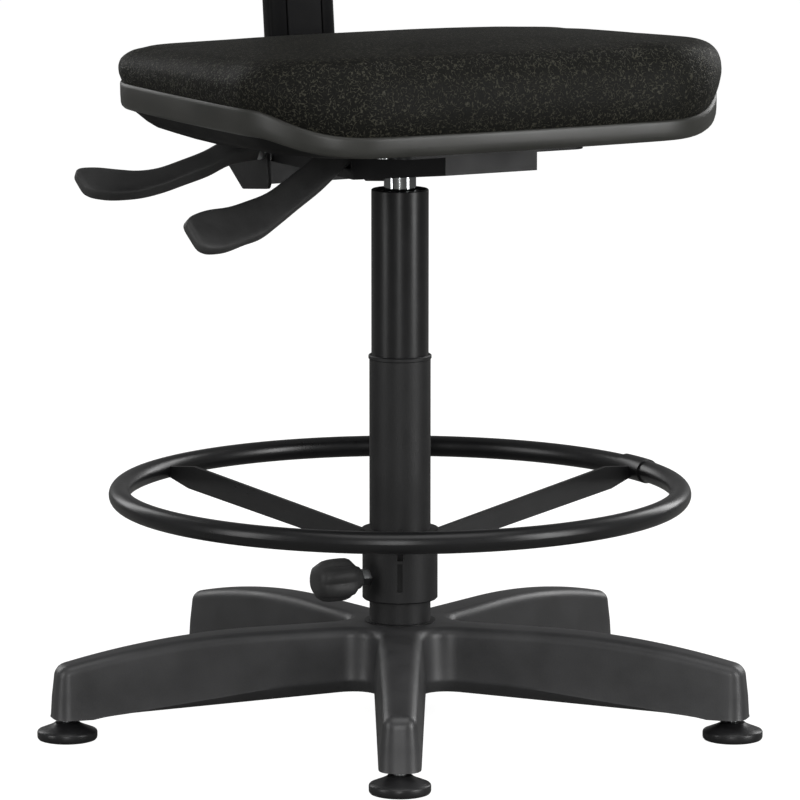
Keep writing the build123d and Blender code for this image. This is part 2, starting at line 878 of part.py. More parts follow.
cover_screw_heights = (cover_foot + 40.0, cover_top - 45.0)
front_cover = cover_half(True)
rear_cover = cover_half(False)
cover_middle = bar_front + bar_thick / 2
for height in cover_screw_heights:
    post = rod_y(4.5, cover_middle - cover_front_depth + cover_wall, bar_front - press_gap, 0, height)
    front_cover += post
    front_cover -= rod_y(1.8 + press_gap, cover_middle - cover_front_depth + cover_wall + 1.0, bar_front + 9, 0, height)
    rear_post = rod_y(4.5, bar_front + bar_thick + press_gap, cover_middle + cover_rear_depth - cover_wall, 0, height)
    rear_cover += rear_post
    rear_cover -= rod_y(1.8 + press_gap, bar_front, cover_middle + cover_rear_depth + 1, 0, height)
    rear_cover -= rod_y(3.6 + press_gap, cover_middle + cover_rear_depth - cover_wall, cover_middle + cover_rear_depth + 1, 0, height)
drilled_bar = upright_bar()
for height in cover_screw_heights:
    drilled_bar -= rod_y(2.3, bar_front - 1, bar_front + bar_thick + 1, 0, height)
save("upright_bar", leaned(one(drilled_bar)))
save("upright_front_cover", leaned(one(front_cover)))
save("upright_rear_cover", leaned(one(rear_cover)))
save("cover_screws", *[leaned(one(cover_screw(height))) for height in cover_screw_heights])

# ---------------------------------------------------------------------------
# Seat: shell with edge band, plywood board, cushion, bolts and tee nuts
# ---------------------------------------------------------------------------
def seat_outline(inset):
    """Seat outline with bowed sides and round corners, drawn in by an inset."""
    half_w = seat_width / 2 - inset
    half_d = seat_depth / 2 - inset
    corner_w = half_w - seat_bow
    corner_d = half_d - seat_bow
    corners = [(-corner_w, -corner_d), (corner_w, -corner_d), (corner_w, corner_d), (-corner_w, corner_d)]
    middles = [(0, -half_d), (half_w, 0), (0, half_d), (-half_w, 0)]
    sides = []
    for index, middle in enumerate(middles):
        sides.append(ThreePointArc(corners[index], middle, corners[(index + 1) % 4]))
    face = make_face(sides)
    return fillet(face.vertices(), max(seat_corner - inset, dish_corner))


def seat_slab(inset, low, high):
    return Pos(0, seat_centre_y, low) * extrude(seat_outline(inset), high - low)


shell_under = plate_top


def seat_dish(inset, lift):
    """The band's slab over an underside that falls from its rim to a flat foot."""
    rim = Pos(0, seat_centre_y, band_under + lift) * seat_outline(dish_rim_inset + inset)
    foot = Pos(0, seat_centre_y, dish_under + lift) * seat_outline(dish_foot_inset + inset)
    slab_top = band_top + (1.0 if inset else 0.0)
    return loft([rim, foot], ruled=True) + seat_slab(inset, band_under + lift, slab_top)


recess_half_width = seat_plate_half_width + 2.0
recess_front = seat_plate_front - 2.0
arm_notch_x = (-140.0, -recess_half_width + 1.0)
arm_notch_y = (-48.0, 10.0)


def mechanism_room(wall):
    """The recess over the mechanism, open behind, grown by a wall."""
    half = recess_half_width + wall
    return block((-half, half), (recess_front - wall, seat_centre_y + seat_depth), (400.0, shell_under + wall))


def seat_shell():
    shell = seat_dish(0.0, 0.0)
    shell -= seat_dish(shell_wall, shell_floor) - mechanism_room(shell_wall)
    shell -= mechanism_room(0.0)
    shell -= block(arm_notch_x, arm_notch_y, (dish_under - 5.0, dish_under + 14.0))
    for x, y in screw_places:
        shell -= Pos(x, y, 0) * rod_z(screw_radius + loose_gap, shell_under - 1, shell_under + 5)
    return one(shell)


save("seat_shell", seat_shell())
board_under = band_under + shell_floor
board_top = board_under + board_thick
dish_slope = (dish_foot_inset - dish_rim_inset) / (band_under - dish_under)
board_foot_inset = dish_rim_inset + shell_wall + dish_slope * (board_under - shell_under - shell_floor) + 5.0


def seat_board():
    board = seat_slab(board_inset, board_under, board_top)
    board += seat_slab(board_foot_inset, shell_under + shell_floor, board_under)
    for x, y in screw_places:
        board -= Pos(x, y, 0) * rod_z(nut_barrel_radius + press_gap, shell_under, board_top + 1)
        board -= Pos(x, y, 0) * rod_z(nut_flange_radius + press_gap, board_top - nut_flange - 0.3, board_top + 1)
    return one(board)


save("seat_board", seat_board())

cushion_under = board_top + soft_gap
cushion = seat_slab(shell_wall + soft_gap + 1.0, cushion_under, band_top + soft_gap)
cushion_block = seat_slab(1.0, band_top + soft_gap, cushion_top)
cushion_block = fillet(cushion_block.edges().group_by(Axis.Z)[-1], cushion_round)
save("seat_cushion", one(cushion + cushion_block))

screw_head_top = pan_top
seat_screw = rod_z(screw_head_radius, screw_head_top - screw_head_height, screw_head_top)
seat_screw += rod_z(screw_radius, screw_head_top - 1, board_top - 2.0)
save("seat_screws", *[one(Pos(x, y, 0) * seat_screw) for x, y in screw_places])
nut_top = board_top - 0.3
tee_nut = tube(nut_barrel_radius, screw_radius + press_gap, shell_under + shell_floor + 2.0, nut_top)
tee_nut += tube(nut_flange_radius, screw_radius + press_gap, nut_top - nut_flange, nut_top)
save("tee_nuts", *[one(Pos(x, y, 0) * tee_nut) for x, y in screw_places])

# ---------------------------------------------------------------------------
# Backrest: curved board, cushion and shell, riding the bar in a guide sleeve
# ---------------------------------------------------------------------------
back_middle_z = back_bottom + back_height / 2
board_back_y = bar_front + bar_thick / 2 - cover_front_depth - 1.0
board_front_y = board_back_y - back_board_thick
cushion_back_y = board_front_y - soft_gap


back_centre_y = board_front_y - back_curve


def curved_panel(front_y, thick, inset):
    """A panel hollowed towards the sitter, with rounded corners; all panels share one axis."""
    radius = front_y - back_centre_y
    ring = tube(radius + thick, radius, back_bottom - 10, back_bottom + back_height + 10)
    ring = Pos(0, back_centre_y, 0) * ring
    face = RectangleRounded(back_width - 2 * inset, back_height - 2 * inset, back_corner - inset)
    window = Pos(0, front_y, back_middle_z) * Rot(90, 0, 0) * extrude(face, back_width / 2, both=True)
    return one(ring & window)


back_board = curved_panel(board_front_y, back_board_thick, 8.0)
back_cushion = curved_panel(cushion_back_y - back_cushion_thick, back_cushion_thick, 0.0)
sleeve_front = board_back_y
sleeve_back = bar_front + bar_thick + 5.0
guide_half = sleeve_width / 2


def back_guide():
    """Nylon sleeve bolted behind the board; the bar slides through it."""
    guide = block((-guide_half, guide_half), (sleeve_front, sleeve_back), (sleeve_start, sleeve_start + sleeve_height))
    guide = guide - block(
        (-bar_width / 2 - running_gap, bar_width / 2 + running_gap),
        (bar_front - running_gap, bar_front + bar_thick + running_gap),
        (sleeve_start - 1, sleeve_start + sleeve_height + 1),
    )
    board_radius = board_back_y - back_centre_y
    guide -= Pos(0, back_centre_y, 0) * rod_z(board_radius, sleeve_start - 1, sleeve_start + sleeve_height + 1)
    return one(guide)


shell_front_y = board_front_y
cover_room = 1.0
hump_back_y = cover_middle + cover_rear_depth + cover_room + back_shell_wall


def back_shell():
    """Rear shell: a shallow curved tray with a hump over the guide, open below."""
    rim = 2.0
    tray = curved_panel(shell_front_y, back_shell_depth, rim)
    tray -= curved_panel(shell_front_y - 1.0, back_shell_depth + 1.0 - back_shell_wall, rim + back_shell_wall)
    hump_low = back_bottom + rim + back_shell_wall / 2
    hump_half = hump_width / 2
    hump_front = shell_front_y + back_shell_depth - back_shell_wall - 5.0
    hump = block((-hump_half, hump_half), (hump_front, hump_back_y), (hump_low, hump_low + hump_height))
    hump = fillet(hump.edges().filter_by(Axis.Z).group_by(Axis.Y)[-1], 7.0)
    tray += hump
    room_half = hump_half - back_shell_wall
    room_top = hump_low + hump_height - back_shell_wall
    tray -= block(
        (-room_half, room_half),
        (board_back_y - 5.0, hump_back_y - back_shell_wall),
        (back_bottom - 1, room_top),
    )
    return one(tray)


def back_screws():
    screws = []
    for x in (-22.0, 22.0):
        for z in (sleeve_start + 14.0, sleeve_start + sleeve_height - 14.0):
            screws.append(rod_y(2.5, board_front_y + 1.0, bar_front - 3.0, x * 1.1, z))
    return screws


for hole in back_screws():
    back_board -= hole
guide = back_guide()
for hole in back_screws():
    guide -= hole
save("back_board", leaned(one(back_board)))
save("back_cushion", leaned(back_cushion))
save("back_guide", leaned(one(guide)))
save("back_shell", leaned(back_shell()))
save("back_guide_screws", *[leaned(screw) for screw in back_screws()])

# ---------------------------------------------------------------------------
# Foot ring: tube ring on three flat spokes, collar, liner and clamp knob
# ---------------------------------------------------------------------------
collar_top = collar_under + collar_height
ring_core = Pos(0, 0, ring_height) * Torus(ring_radius, ring_tube_radius)
ring_hollow = Pos(0, 0, ring_height) * Torus(ring_radius, ring_tube_radius - ring_tube_wall)
save("foot_ring", ring_core - ring_hollow)


def spoke():
    """Flat bar on edge, falling from the ring to the collar's top, drawn along -Y."""
    ring_mid = ring_height - 3.0
    low = collar_top - 3.0 - spoke_height
    half = spoke_height / 2
    outline = Polyline(
        (-collar_radius + 2.0, low),
        (-collar_radius + 2.0, low + spoke_height),
        (-ring_radius + 34.0, ring_mid + half - 2.0),
        (-ring_radius + 4.0, ring_mid + half - 4.0),
        (-ring_radius + 4.0, ring_mid - 2.0),
        (-ring_radius + 28.0, ring_mid - half - 3.0),
        close=True,
    )
    bar = extrude(Plane.YZ * make_face(outline), spoke_thick / 2, both=True)
    bar -= ring_core
    bar -= rod_z(collar_radius, 0, 300)
    return sorted(bar.solids(), key=lambda s: s.volume)[-1]


save("ring_spokes", *around(spoke(), 3, base_turn))

joint_half = degrees(joint_sleeve_length / 2 / ring_radius)
joint_section = Pos(ring_radius, 0, ring_height) * Rot(90, 0, 0) * (
    Circle(ring_tube_radius + joint_sleeve_wall) - Circle(ring_tube_radius)
)
joint_sleeve = revolve(joint_section, Axis.Z, 2 * joint_half)
joint_sleeve = about_z(joint_sleeve, -joint_half + 30.0)
for bar in around(spoke(), 3, 0.0):
    joint_sleeve -= bar
save("ring_joint_sleeve", about_z(one(joint_sleeve), base_turn))


def ring_collar():
    collar = tube(collar_radius, collar_bore, collar_under, collar_top)
    collar = chamfer(collar.edges().group_by(Axis.Z)[0].sort_by(SortBy.LENGTH)[-1], 1.2)
    slot = block(
        (-collar_slot_width / 2, collar_slot_width / 2),
        (-collar_radius - 2, 0),
        (collar_slot_under, collar_slot_top),
    )
    collar -= slot
    hole = about_z(rod_y(stud_radius + press_gap, -60, 0, 0, knob_z), knob_turn)
    collar -= hole
    return about_z(one(collar), base_turn)


save("ring_collar", ring_collar())

collar_liner = turned(
    [
        (extender_radius + running_gap, collar_under + 1.0),
        (collar_bore - running_gap, collar_under + 1.0),
        (collar_bore - running_gap, collar_top + running_gap),
        (liner_flange_radius, collar_top + running_gap),
        (liner_flange_radius, collar_top + liner_flange),
        (extender_radius + running_gap, collar_top + liner_flange),
    ]
)
save("collar_liner", collar_liner)

# ---- clamp knob on a stud through a welded nut ------------------------------
nut_out = collar_radius + nut_height
knob_start = nut_out + 1.5


def on_knob_axis(shape):
    """Turn a shape drawn along -Y at knob height into the knob's direction."""
    return about_z(shape, knob_turn + base_turn)


def collar_nut():
    nut = Pos(0, -collar_radius + 1.0, knob_z) * Rot(90, 0, 0) * extrude(
        RegularPolygon(nut_flats / 2, 6, major_radius=False), nut_height + 1.0
    )
    nut -= rod_z(collar_radius, 0, 300)
    nut -= rod_y(stud_radius + running_gap, -80, 0, 0, knob_z)
    return one(nut)


save("collar_nut", on_knob_axis(collar_nut()))
stud = rod_y(stud_radius, -(knob_start + 20.0), -(collar_bore + 0.2), 0, knob_z)
save("knob_stud", on_knob_axis(stud))


def clamp_knob():
    """Lobed hand knob with a domed end, bored for the stud."""
    knob = rod_y(knob_radius * 0.86, -(knob_start + knob_length), -knob_start, 0, knob_z)
    end_edge = knob.edges().sort_by(Axis.Y)[0]
    knob = fillet(end_edge, 9.0)
    for index in range(knob_lobes):
        angle = 360.0 / knob_lobes * index
        x = knob_radius * 0.62 * cos(radians(angle))
        z = knob_z + knob_radius * 0.62 * sin(radians(angle))
        lobe = rod_y(knob_radius * 0.38, -(knob_start + knob_length - 3.0), -(knob_start + 4.0), x, z)
        lobe = fillet(lobe.edges().sort_by(Axis.Y)[0], 5.0)
        knob += lobe
    knob -= rod_y(stud_radius + press_gap, -(knob_start + 20.0), 0, 0, knob_z)
    return one(knob)


save("clamp_knob", on_knob_axis(clamp_knob()))
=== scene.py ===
from math import cos, hypot, pi, radians, sin, sqrt

import bmesh
import bpy
from bpy.props import FloatProperty, FloatVectorProperty, IntProperty, PointerProperty
from bpy.types import NodeSocket, Operator, Panel, PropertyGroup
from mathutils import Matrix, Vector


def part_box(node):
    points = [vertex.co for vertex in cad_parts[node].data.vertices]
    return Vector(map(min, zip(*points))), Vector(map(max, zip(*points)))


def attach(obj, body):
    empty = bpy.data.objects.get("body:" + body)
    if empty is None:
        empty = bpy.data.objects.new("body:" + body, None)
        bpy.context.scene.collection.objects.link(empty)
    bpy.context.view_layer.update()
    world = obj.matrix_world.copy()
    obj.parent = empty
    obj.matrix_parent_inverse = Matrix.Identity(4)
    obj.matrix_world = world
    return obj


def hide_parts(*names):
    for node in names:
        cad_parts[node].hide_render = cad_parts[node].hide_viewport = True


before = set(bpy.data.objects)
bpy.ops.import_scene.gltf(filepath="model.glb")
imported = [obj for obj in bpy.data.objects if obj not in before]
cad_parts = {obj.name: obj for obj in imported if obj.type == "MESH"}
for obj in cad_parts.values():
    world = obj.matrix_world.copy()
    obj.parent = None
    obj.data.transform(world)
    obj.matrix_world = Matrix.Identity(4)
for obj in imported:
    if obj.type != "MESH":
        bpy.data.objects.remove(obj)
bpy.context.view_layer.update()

bl_info = {
    "name": "Drafting Chair",
    "version": (1, 0, 0),
    "blender": (4, 5, 0),
    "location": "View3D > Sidebar > Drafting Chair",
    "description": "Upholstery, mouldings, finishes and studio for a drafting chair's CAD frame",
    "category": "Object",
}

MM = 0.001


def linear(hex_colour):
    """Turns an sRGB hex colour into the linear values that shaders take."""
    values = [int(hex_colour[i:i + 2], 16) / 255 for i in (1, 3, 5)]
    return [v / 12.92 if v <= 0.04045 else ((v + 0.055) / 1.055) ** 2.4 for v in values]


def size_property(name, description, default_mm):
    """A length kept in metres and shown in the scene's units."""
    return FloatProperty(
        name=name, description=description, default=default_mm * MM, unit="LENGTH", precision=4
    )


def colour_property(name, description, hex_colour):
    """A colour whose default comes from an sRGB hex value."""
    return FloatVectorProperty(
        name=name,
        description=description,
        default=linear(hex_colour),
        subtype="COLOR",
        size=3,
        min=0,
        max=1,
    )


class ChairSizes(PropertyGroup):
    seat_crown: size_property(
        "Seat crown", "How far the seat pad's highest point stands above its crown line", 2.0
    )
    seat_edge: size_property(
        "Seat edge height", "Height of the seat pad's round edge along the sides", 21.0
    )
    seat_edge_reach: size_property(
        "Seat edge reach", "How far in from the side the seat pad's round edge ends", 25.0
    )
    seat_swell: size_property("Seat swell", "Furthest that a point of the seat pad puffs out", 6.0)
    back_swell: size_property("Back swell", "Furthest that a point of the back pad puffs out", 7.0)
    voxel: size_property("Pad voxel", "Grid of the pads before they are puffed", 5.0)
    leg_shoulder: size_property("Leg shoulder", "Radius of the legs' upper edges", 9.0)
    leg_crease: size_property("Leg crease", "Height of the legs' turned-in lower edge", 11.0)
    leg_blend: size_property("Leg blend", "Radius of the hollow between two legs", 20.0)
    wrinkle: size_property("Vinyl grain", "Distance between the vinyl's grain lines", 2.6)
    wrinkle_depth: size_property("Vinyl grain depth", "Height of the vinyl's grain lines", 0.22)
    knob_lobes: IntProperty(
        name="Knob lobes", description="Lobes round the clamp knob", default=6, min=3
    )


class ChairColours(PropertyGroup):
    vinyl: colour_property("Vinyl", "Body of the upholstery vinyl", "#0D0D0A")
    # Lighter colour of the raised lines: a painted highlight along the ridges.
    vinyl_line_highlight: colour_property("Vinyl lines", "Raised grain lines of the vinyl", "#3F3E35")
    shell: colour_property("Shell", "Moulded seat and back shells", "#30302D")
    lever: colour_property("Levers", "Moulded levers and knob", "#3A3A3A")
    cover: colour_property("Upright cover", "Moulded cover of the upright", "#0F0F10")
    base: colour_property("Base", "Moulded star base", "#343435")
    glide: colour_property("Glides", "Moulded glide pads", "#1C1C1D")
    coat: colour_property("Tube paint", "Black powder coat on the tubes", "#161617")
    pressing: colour_property("Pressing paint", "Satin black on the pressed sheet", "#151516")
    bright: colour_property("Bright steel", "Ground and plated steel", "#B9BABC")
    floor: colour_property("Floor", "Studio floor", "#8E8E8C")


def sizes():
    return bpy.context.scene.drafting_chair_sizes


def colours():
    return bpy.context.scene.drafting_chair_colours


# ---- finishes ---------------------------------------------------------------------------
def add_node(tree, kind, inputs=None, **settings):
    """Adds a node; inputs are values or other nodes' sockets, by socket name or number."""
    node = tree.nodes.new(kind)
    for key, value in settings.items():
        setattr(node, key, value)
    for socket, value in (inputs or {}).items():
        if isinstance(value, NodeSocket):
            tree.links.new(value, node.inputs[socket])
        else:
            node.inputs[socket].default_value = value
    return node


def new_material(name):
    """An empty node material and its tree, or None for the tree where it is already made."""
    made = bpy.data.materials.get("chair_" + name)
    if made:
        return made, None
    made = bpy.data.materials.new("chair_" + name)
    made.use_nodes = True
    made.node_tree.nodes.clear()
    return made, made.node_tree


def opaque(colour, gain=1.0):
    """A colour with its alpha, brightened by a gain."""
    return (*[min(1.0, c * gain) for c in colour], 1.0)


def per_metre(millimetres):
    """Texture scale that repeats at a real size."""
    return 1.0 / (millimetres * MM)


MOTTLE = 0.25
SPECK_IN_DRIFT = 0.35


def grained_finish(name, colour, roughness, grain, depth, specular, patch, wear=0.08):
    """A moulded or painted surface: fine grain in the bump, slow drift in colour and gloss.

    Grain, depth and patch are millimetres. The grain of real moulds and paints is 0.1 to 0.3 mm,
    too fine to show, so each is drawn as coarse as it needs to be seen."""
    material, tree = new_material(name)
    if tree is None:
        return material
    place = add_node(tree, "ShaderNodeTexCoord").outputs["Object"]
    drift = add_node(
        tree,
        "ShaderNodeTexNoise",
        {"Vector": place, "Scale": per_metre(patch), "Detail": 3.0, "Roughness": 0.55},
    )
    fine = add_node(
        tree,
        "ShaderNodeTexNoise",
        {"Vector": place, "Scale": per_metre(grain), "Detail": 2.0, "Roughness": 0.6},
    )
    speck = add_node(
        tree,
        "ShaderNodeMath",
        {0: fine.outputs["Fac"], 1: SPECK_IN_DRIFT, 2: drift.outputs["Fac"]},
        operation="MULTIPLY_ADD",
    )
    spread = {"Value": speck.outputs[0], "From Min": 0.4, "From Max": 0.95}
    share = add_node(tree, "ShaderNodeMapRange", spread)
    tint = add_node(
        tree,
        "ShaderNodeMix",
        {0: share.outputs[0], 6: opaque(colour, 1.0 - MOTTLE), 7: opaque(colour, 1.0 + MOTTLE)},
        data_type="RGBA",
    )
    gloss = add_node(
        tree,
        "ShaderNodeMapRange",
        {**spread, "To Min": roughness - wear, "To Max": roughness + wear},
    )
    bump = add_node(
        tree,
        "ShaderNodeBump",
        {"Height": fine.outputs["Fac"], "Distance": depth * MM, "Strength": 1.0},
    )
    shader = add_node(
        tree,
        "ShaderNodeBsdfPrincipled",
        {
            "Base Color": tint.outputs[2],
            "Roughness": gloss.outputs[0],
            "Normal": bump.outputs[0],
            "Specular IOR Level": specular,
        },
    )
    add_node(tree, "ShaderNodeOutputMaterial", {"Surface": shader.outputs[0]})
    return material


def vinyl_finish():
    """Upholstery vinyl: PVC coated cloth, embossed by a hot roller with a hide's crinkle.

    The raised lines are glossier than the valleys, and their lighter colour is a painted highlight
    along the ridges.
    A hide's crinkle is about 1 mm across, too fine to show, so it is drawn coarser."""
    material, tree = new_material("embossed_vinyl")
    if tree is None:
        return material
    cell = sizes().wrinkle
    place = add_node(tree, "ShaderNodeTexCoord").outputs["Object"]
    crinkle = {"Vector": place, "Detail": 0.0, "Distortion": 0.4}
    # Lines run where the folds' height crosses its middle.
    folds = add_node(tree, "ShaderNodeTexNoise", {**crinkle, "Scale": 1.0 / cell})
    middle = add_node(
        tree, "ShaderNodeMath", {0: folds.outputs["Fac"], 1: 0.5}, operation="SUBTRACT"
    )
    ridge = add_node(tree, "ShaderNodeMath", {0: middle.outputs[0]}, operation="ABSOLUTE")
    fold_line = add_node(
        tree,
        "ShaderNodeMapRange",
        {
            "Value": ridge.outputs[0],
            "From Min": 0.01,
            "From Max": 0.085,
            "To Min": 1.0,
            "To Max": 0.0,
        },
        interpolation_type="SMOOTHSTEP",
    )
    # A second crinkle breaks the lines into short pieces.
    breaks = add_node(tree, "ShaderNodeTexNoise", {**crinkle, "Scale": 0.8 / cell})
    kept = add_node(
        tree,
        "ShaderNodeMapRange",
        {
            "Value": breaks.outputs["Fac"],
            "From Min": 0.38,
            "From Max": 0.52,
            "To Min": 0.12,
            "To Max": 1.0,
        },
        interpolation_type="SMOOTHSTEP",
    )
    line = add_node(
        tree, "ShaderNodeMath", {0: fold_line.outputs[0], 1: kept.outputs[0]}, operation="MULTIPLY"
    )
    # The painted highlight on the lines drifts slowly over the pad, so that some lines are fainter.
    drift = add_node(
        tree, "ShaderNodeTexNoise", {"Vector": place, "Scale": per_metre(60.0), "Detail": 2.0}
    )
    strength = add_node(
        tree,
        "ShaderNodeMapRange",
        {"Value": drift.outputs["Fac"], "From Min": 0.3, "From Max": 0.7, "To Min": 0.7},
    )
    line_highlight = add_node(
        tree, "ShaderNodeMath", {0: line.outputs[0], 1: strength.outputs[0]}, operation="MULTIPLY"
    )
    # Painted highlight: the lines take the lighter line colour over the vinyl's own.
    tint = add_node(
        tree,
        "ShaderNodeMix",
        {0: line_highlight.outputs[0], 6: opaque(colours().vinyl), 7: opaque(colours().vinyl_line_highlight)},
        data_type="RGBA",
    )
    # The bump has the lines, with a slight tooth between them.
    fine = add_node(
        tree, "ShaderNodeTexNoise", {"Vector": place, "Scale": per_metre(0.9), "Detail": 2.0}
    )
    height = add_node(
        tree,
        "ShaderNodeMath",
        {0: fine.outputs["Fac"], 1: 0.18, 2: line.outputs[0]},
        operation="MULTIPLY_ADD",
    )
    bump = add_node(
        tree,
        "ShaderNodeBump",
        {"Height": height.outputs[0], "Distance": sizes().wrinkle_depth, "Strength": 1.0},
    )
    gloss = add_node(
        tree, "ShaderNodeMapRange", {"Value": line.outputs[0], "To Min": 0.62, "To Max": 0.48}
    )
    shader = add_node(
        tree,
        "ShaderNodeBsdfPrincipled",
        {
            "Base Color": tint.outputs[2],
            "Roughness": gloss.outputs[0],
            "Normal": bump.outputs[0],
            "Specular IOR Level": 0.14,
        },
    )
    add_node(tree, "ShaderNodeOutputMaterial", {"Surface": shader.outputs[0]})
    return material


def metal_finish(name, colour, roughness, grain, depth, stretch=(1.0, 1.0, 1.0)):
    """Bare or plated steel: ground, drawn or tumbled marks in the gloss and bump.

    Grain and depth are millimetres. Real marks are finer, and are drawn coarser to show."""
    material, tree = new_material(name)
    if tree is None:
        return material
    place = add_node(tree, "ShaderNodeTexCoord").outputs["Object"]
    drawn = add_node(tree, "ShaderNodeMapping", {"Vector": place, "Scale": stretch})
    marks = add_node(
        tree,
        "ShaderNodeTexNoise",
        {"Vector": drawn.outputs[0], "Scale": per_metre(grain), "Detail": 3.0},
    )
    tint = add_node(
        tree,
        "ShaderNodeMix",
        {0: marks.outputs["Fac"], 6: opaque(colour, 0.85), 7: opaque(colour, 1.1)},
        data_type="RGBA",
    )
    gloss = add_node(
        tree,
        "ShaderNodeMapRange",
        {"Value": marks.outputs["Fac"], "To Min": roughness * 0.7, "To Max": roughness * 1.3},
    )
    bump = add_node(
        tree, "ShaderNodeBump", {"Height": marks.outputs["Fac"], "Distance": depth * MM}
    )
    shader = add_node(
        tree,
        "ShaderNodeBsdfPrincipled",
        {
            "Base Color": tint.outputs[2],
            "Metallic": 1.0,
            "Roughness": gloss.outputs[0],
            "Normal": bump.outputs[0],
        },
    )
    add_node(tree, "ShaderNodeOutputMaterial", {"Surface": shader.outputs[0]})
    return material


def plywood_finish():
    """Beech plywood, rotary cut and sanded: pale, with grain stretched along the veneer."""
    material, tree = new_material("beech_plywood")
    if tree is None:
        return material
    place = add_node(tree, "ShaderNodeTexCoord").outputs["Object"]
    veneer = add_node(tree, "ShaderNodeMapping", {"Vector": place, "Scale": (1.0, 0.08, 1.0)})
    grain = add_node(
        tree,
        "ShaderNodeTexNoise",
        {"Vector": veneer.outputs[0], "Scale": per_metre(3.0), "Detail": 4.0},
    )
    tint = add_node(
        tree,
        "ShaderNodeMix",
        {0: grain.outputs["Fac"], 6: opaque(linear("#8A6A45")), 7: opaque(linear("#C9A97C"))},
        data_type="RGBA",
    )
    bump = add_node(tree, "ShaderNodeBump", {"Height": grain.outputs["Fac"], "Distance": 0.05 * MM})
    gloss = add_node(
        tree, "ShaderNodeMapRange", {"Value": grain.outputs["Fac"], "To Min": 0.6, "To Max": 0.8}
    )
    shader = add_node(
        tree,
        "ShaderNodeBsdfPrincipled",
        {"Base Color": tint.outputs[2], "Roughness": gloss.outputs[0], "Normal": bump.outputs[0]},
    )
    add_node(tree, "ShaderNodeOutputMaterial", {"Surface": shader.outputs[0]})
    return material


# Name, colour (a property or a hex value), roughness, grain, depth, specular level, patch, wear.
GRAINED_FINISHES = {
    # Polypropylene from a spark-eroded mould: satin, with a soft wide highlight.
    "shell_plastic": ("moulded_polypropylene", "shell", 0.4, 1.1, 0.02, 0.45, 55.0),
    # The same polypropylene, nearly black, rough and deeply grained: painted shade on the dish's
    # underside.
    "shell_painted_shade": ("blasted_polypropylene", "#0B0B0B", 0.7, 1.8, 0.1, 0.2, 50.0),
    # Moulded nylon levers: closed smooth skin, duller where the glass filling comes up.
    "lever_plastic": ("moulded_nylon_grip", "lever", 0.5, 1.3, 0.03, 0.3, 25.0),
    # Moulded ABS covers: even fine grain that leaves little shine.
    "cover_plastic": ("moulded_abs", "cover", 0.5, 1.2, 0.03, 0.1, 50.0),
    # Glass-filled nylon star: coarser mould texture that scatters light into a grey bloom.
    "moulded_nylon": ("glass_filled_nylon", "base", 0.44, 1.5, 0.05, 0.6, 45.0),
    # Hard nylon glide pads, polished by the mould: narrow highlights round the rim.
    "glide_nylon": ("hard_nylon", "glide", 0.35, 1.2, 0.01, 0.45, 15.0),
    # Unfilled moulded acetal bushes: dark and waxy.
    "bush_nylon": ("black_acetal", "#0E0E0E", 0.45, 1.0, 0.01, 0.3, 20.0),
    # Powder coat baked over a fine texture additive: matt with a crisp tooth.
    "textured_coat": ("textured_powder_coat", "coat", 0.5, 1.6, 0.12, 0.45, 30.0),
    # Smooth powder coat: orange-peel swells under a bright skin.
    "gloss_coat": ("gloss_powder_coat", "coat", 0.31, 4.0, 0.02, 0.4, 60.0, 0.05),
    # Electrophoretic black on pressed sheet: thin and even, half matt.
    "satin_coat": ("satin_black_coat", "pressing", 0.45, 2.0, 0.02, 0.3, 35.0),
    # Moulded rubber buffer: dull all over.
    "rubber": ("moulded_rubber", "glide", 0.7, 0.8, 0.03, 0.3, 40.0),
}
# Name, colour, roughness, grain, depth and the grain's stretch.
METAL_FINISHES = {
    # Zinc plate on tumbled small parts: bluish and slightly cloudy.
    "zinc_plate": ("zinc_plated_steel", "#A8AAAB", 0.32, 2.0, 0.01),
    # Hard chrome over a ground rod: nearly a mirror.
    "chrome": ("chromed_steel", "#C9CCCE", 0.08, 6.0, 0.001, (1.0, 1.0, 0.1)),
    # Oil-tempered spring wire: brownish, dull.
    "spring_steel": ("spring_wire", "#4E4A46", 0.4, 1.0, 0.01),
    # Ground steel: pale, with fine bright marks.
    "bright_steel": ("ground_steel", "bright", 0.2, 1.0, 0.003),
}


def finish_for(slot):
    """The material for one of the record's material slots, or for the painted shade on the seat
    shell's underside.
    """
    if slot == "vinyl":
        return vinyl_finish()
    if slot == "plywood":
        return plywood_finish()
    for table, finish in ((GRAINED_FINISHES, grained_finish), (METAL_FINISHES, metal_finish)):
        if slot in table:
            name, colour, *surface = table[slot]
            own = colour.startswith("#")
            return finish(name, linear(colour) if own else getattr(colours(), colour), *surface)
    raise RuntimeError("no finish for slot " + slot)


# ---- mesh helpers -----------------------------------------------------------------------
def join_rows(bm, row, following):
    """Quads between two closed rows of points."""
    count = len(row)
    for k in range(count):
        n = (k + 1) % count
        bm.faces.new((row[k], row[n], following[n], following[k]))


def add_skin(bm, loops, closed=True):
    """Joins each loop of points to the next with quads; a fan closes each end."""
    rows = [[bm.verts.new(p) for p in loop] for loop in loops]
    for row, following in zip(rows, rows[1:]):
        join_rows(bm, row, following)
    for row in (rows[0], rows[-1]) if closed else ():
        middle = bm.verts.new(sum((v.co for v in row), Vector()) / len(row))
        for k in range(len(row)):
            bm.faces.new((row[k], row[(k + 1) % len(row)], middle))
    return rows


def finish_mesh(name, bm, sharp=35.0):
    """A mesh object from a bmesh, with outward normals and creases at sharp turns."""
    bmesh.ops.recalc_face_normals(bm, faces=bm.faces)
    mesh = bpy.data.meshes.new(name)
    bm.to_mesh(mesh)
    bm.free()
    mesh.shade_smooth()
    mesh.set_sharp_from_angle(angle=radians(sharp))
    piece = bpy.data.objects.new(name, mesh)
    bpy.context.scene.collection.objects.link(piece)
    return piece


def skinned(name, loops, sharp=35.0):
    """A closed piece through loops of points."""
    bm = bmesh.new()
    add_skin(bm, loops)
    return finish_mesh(name, bm, sharp)


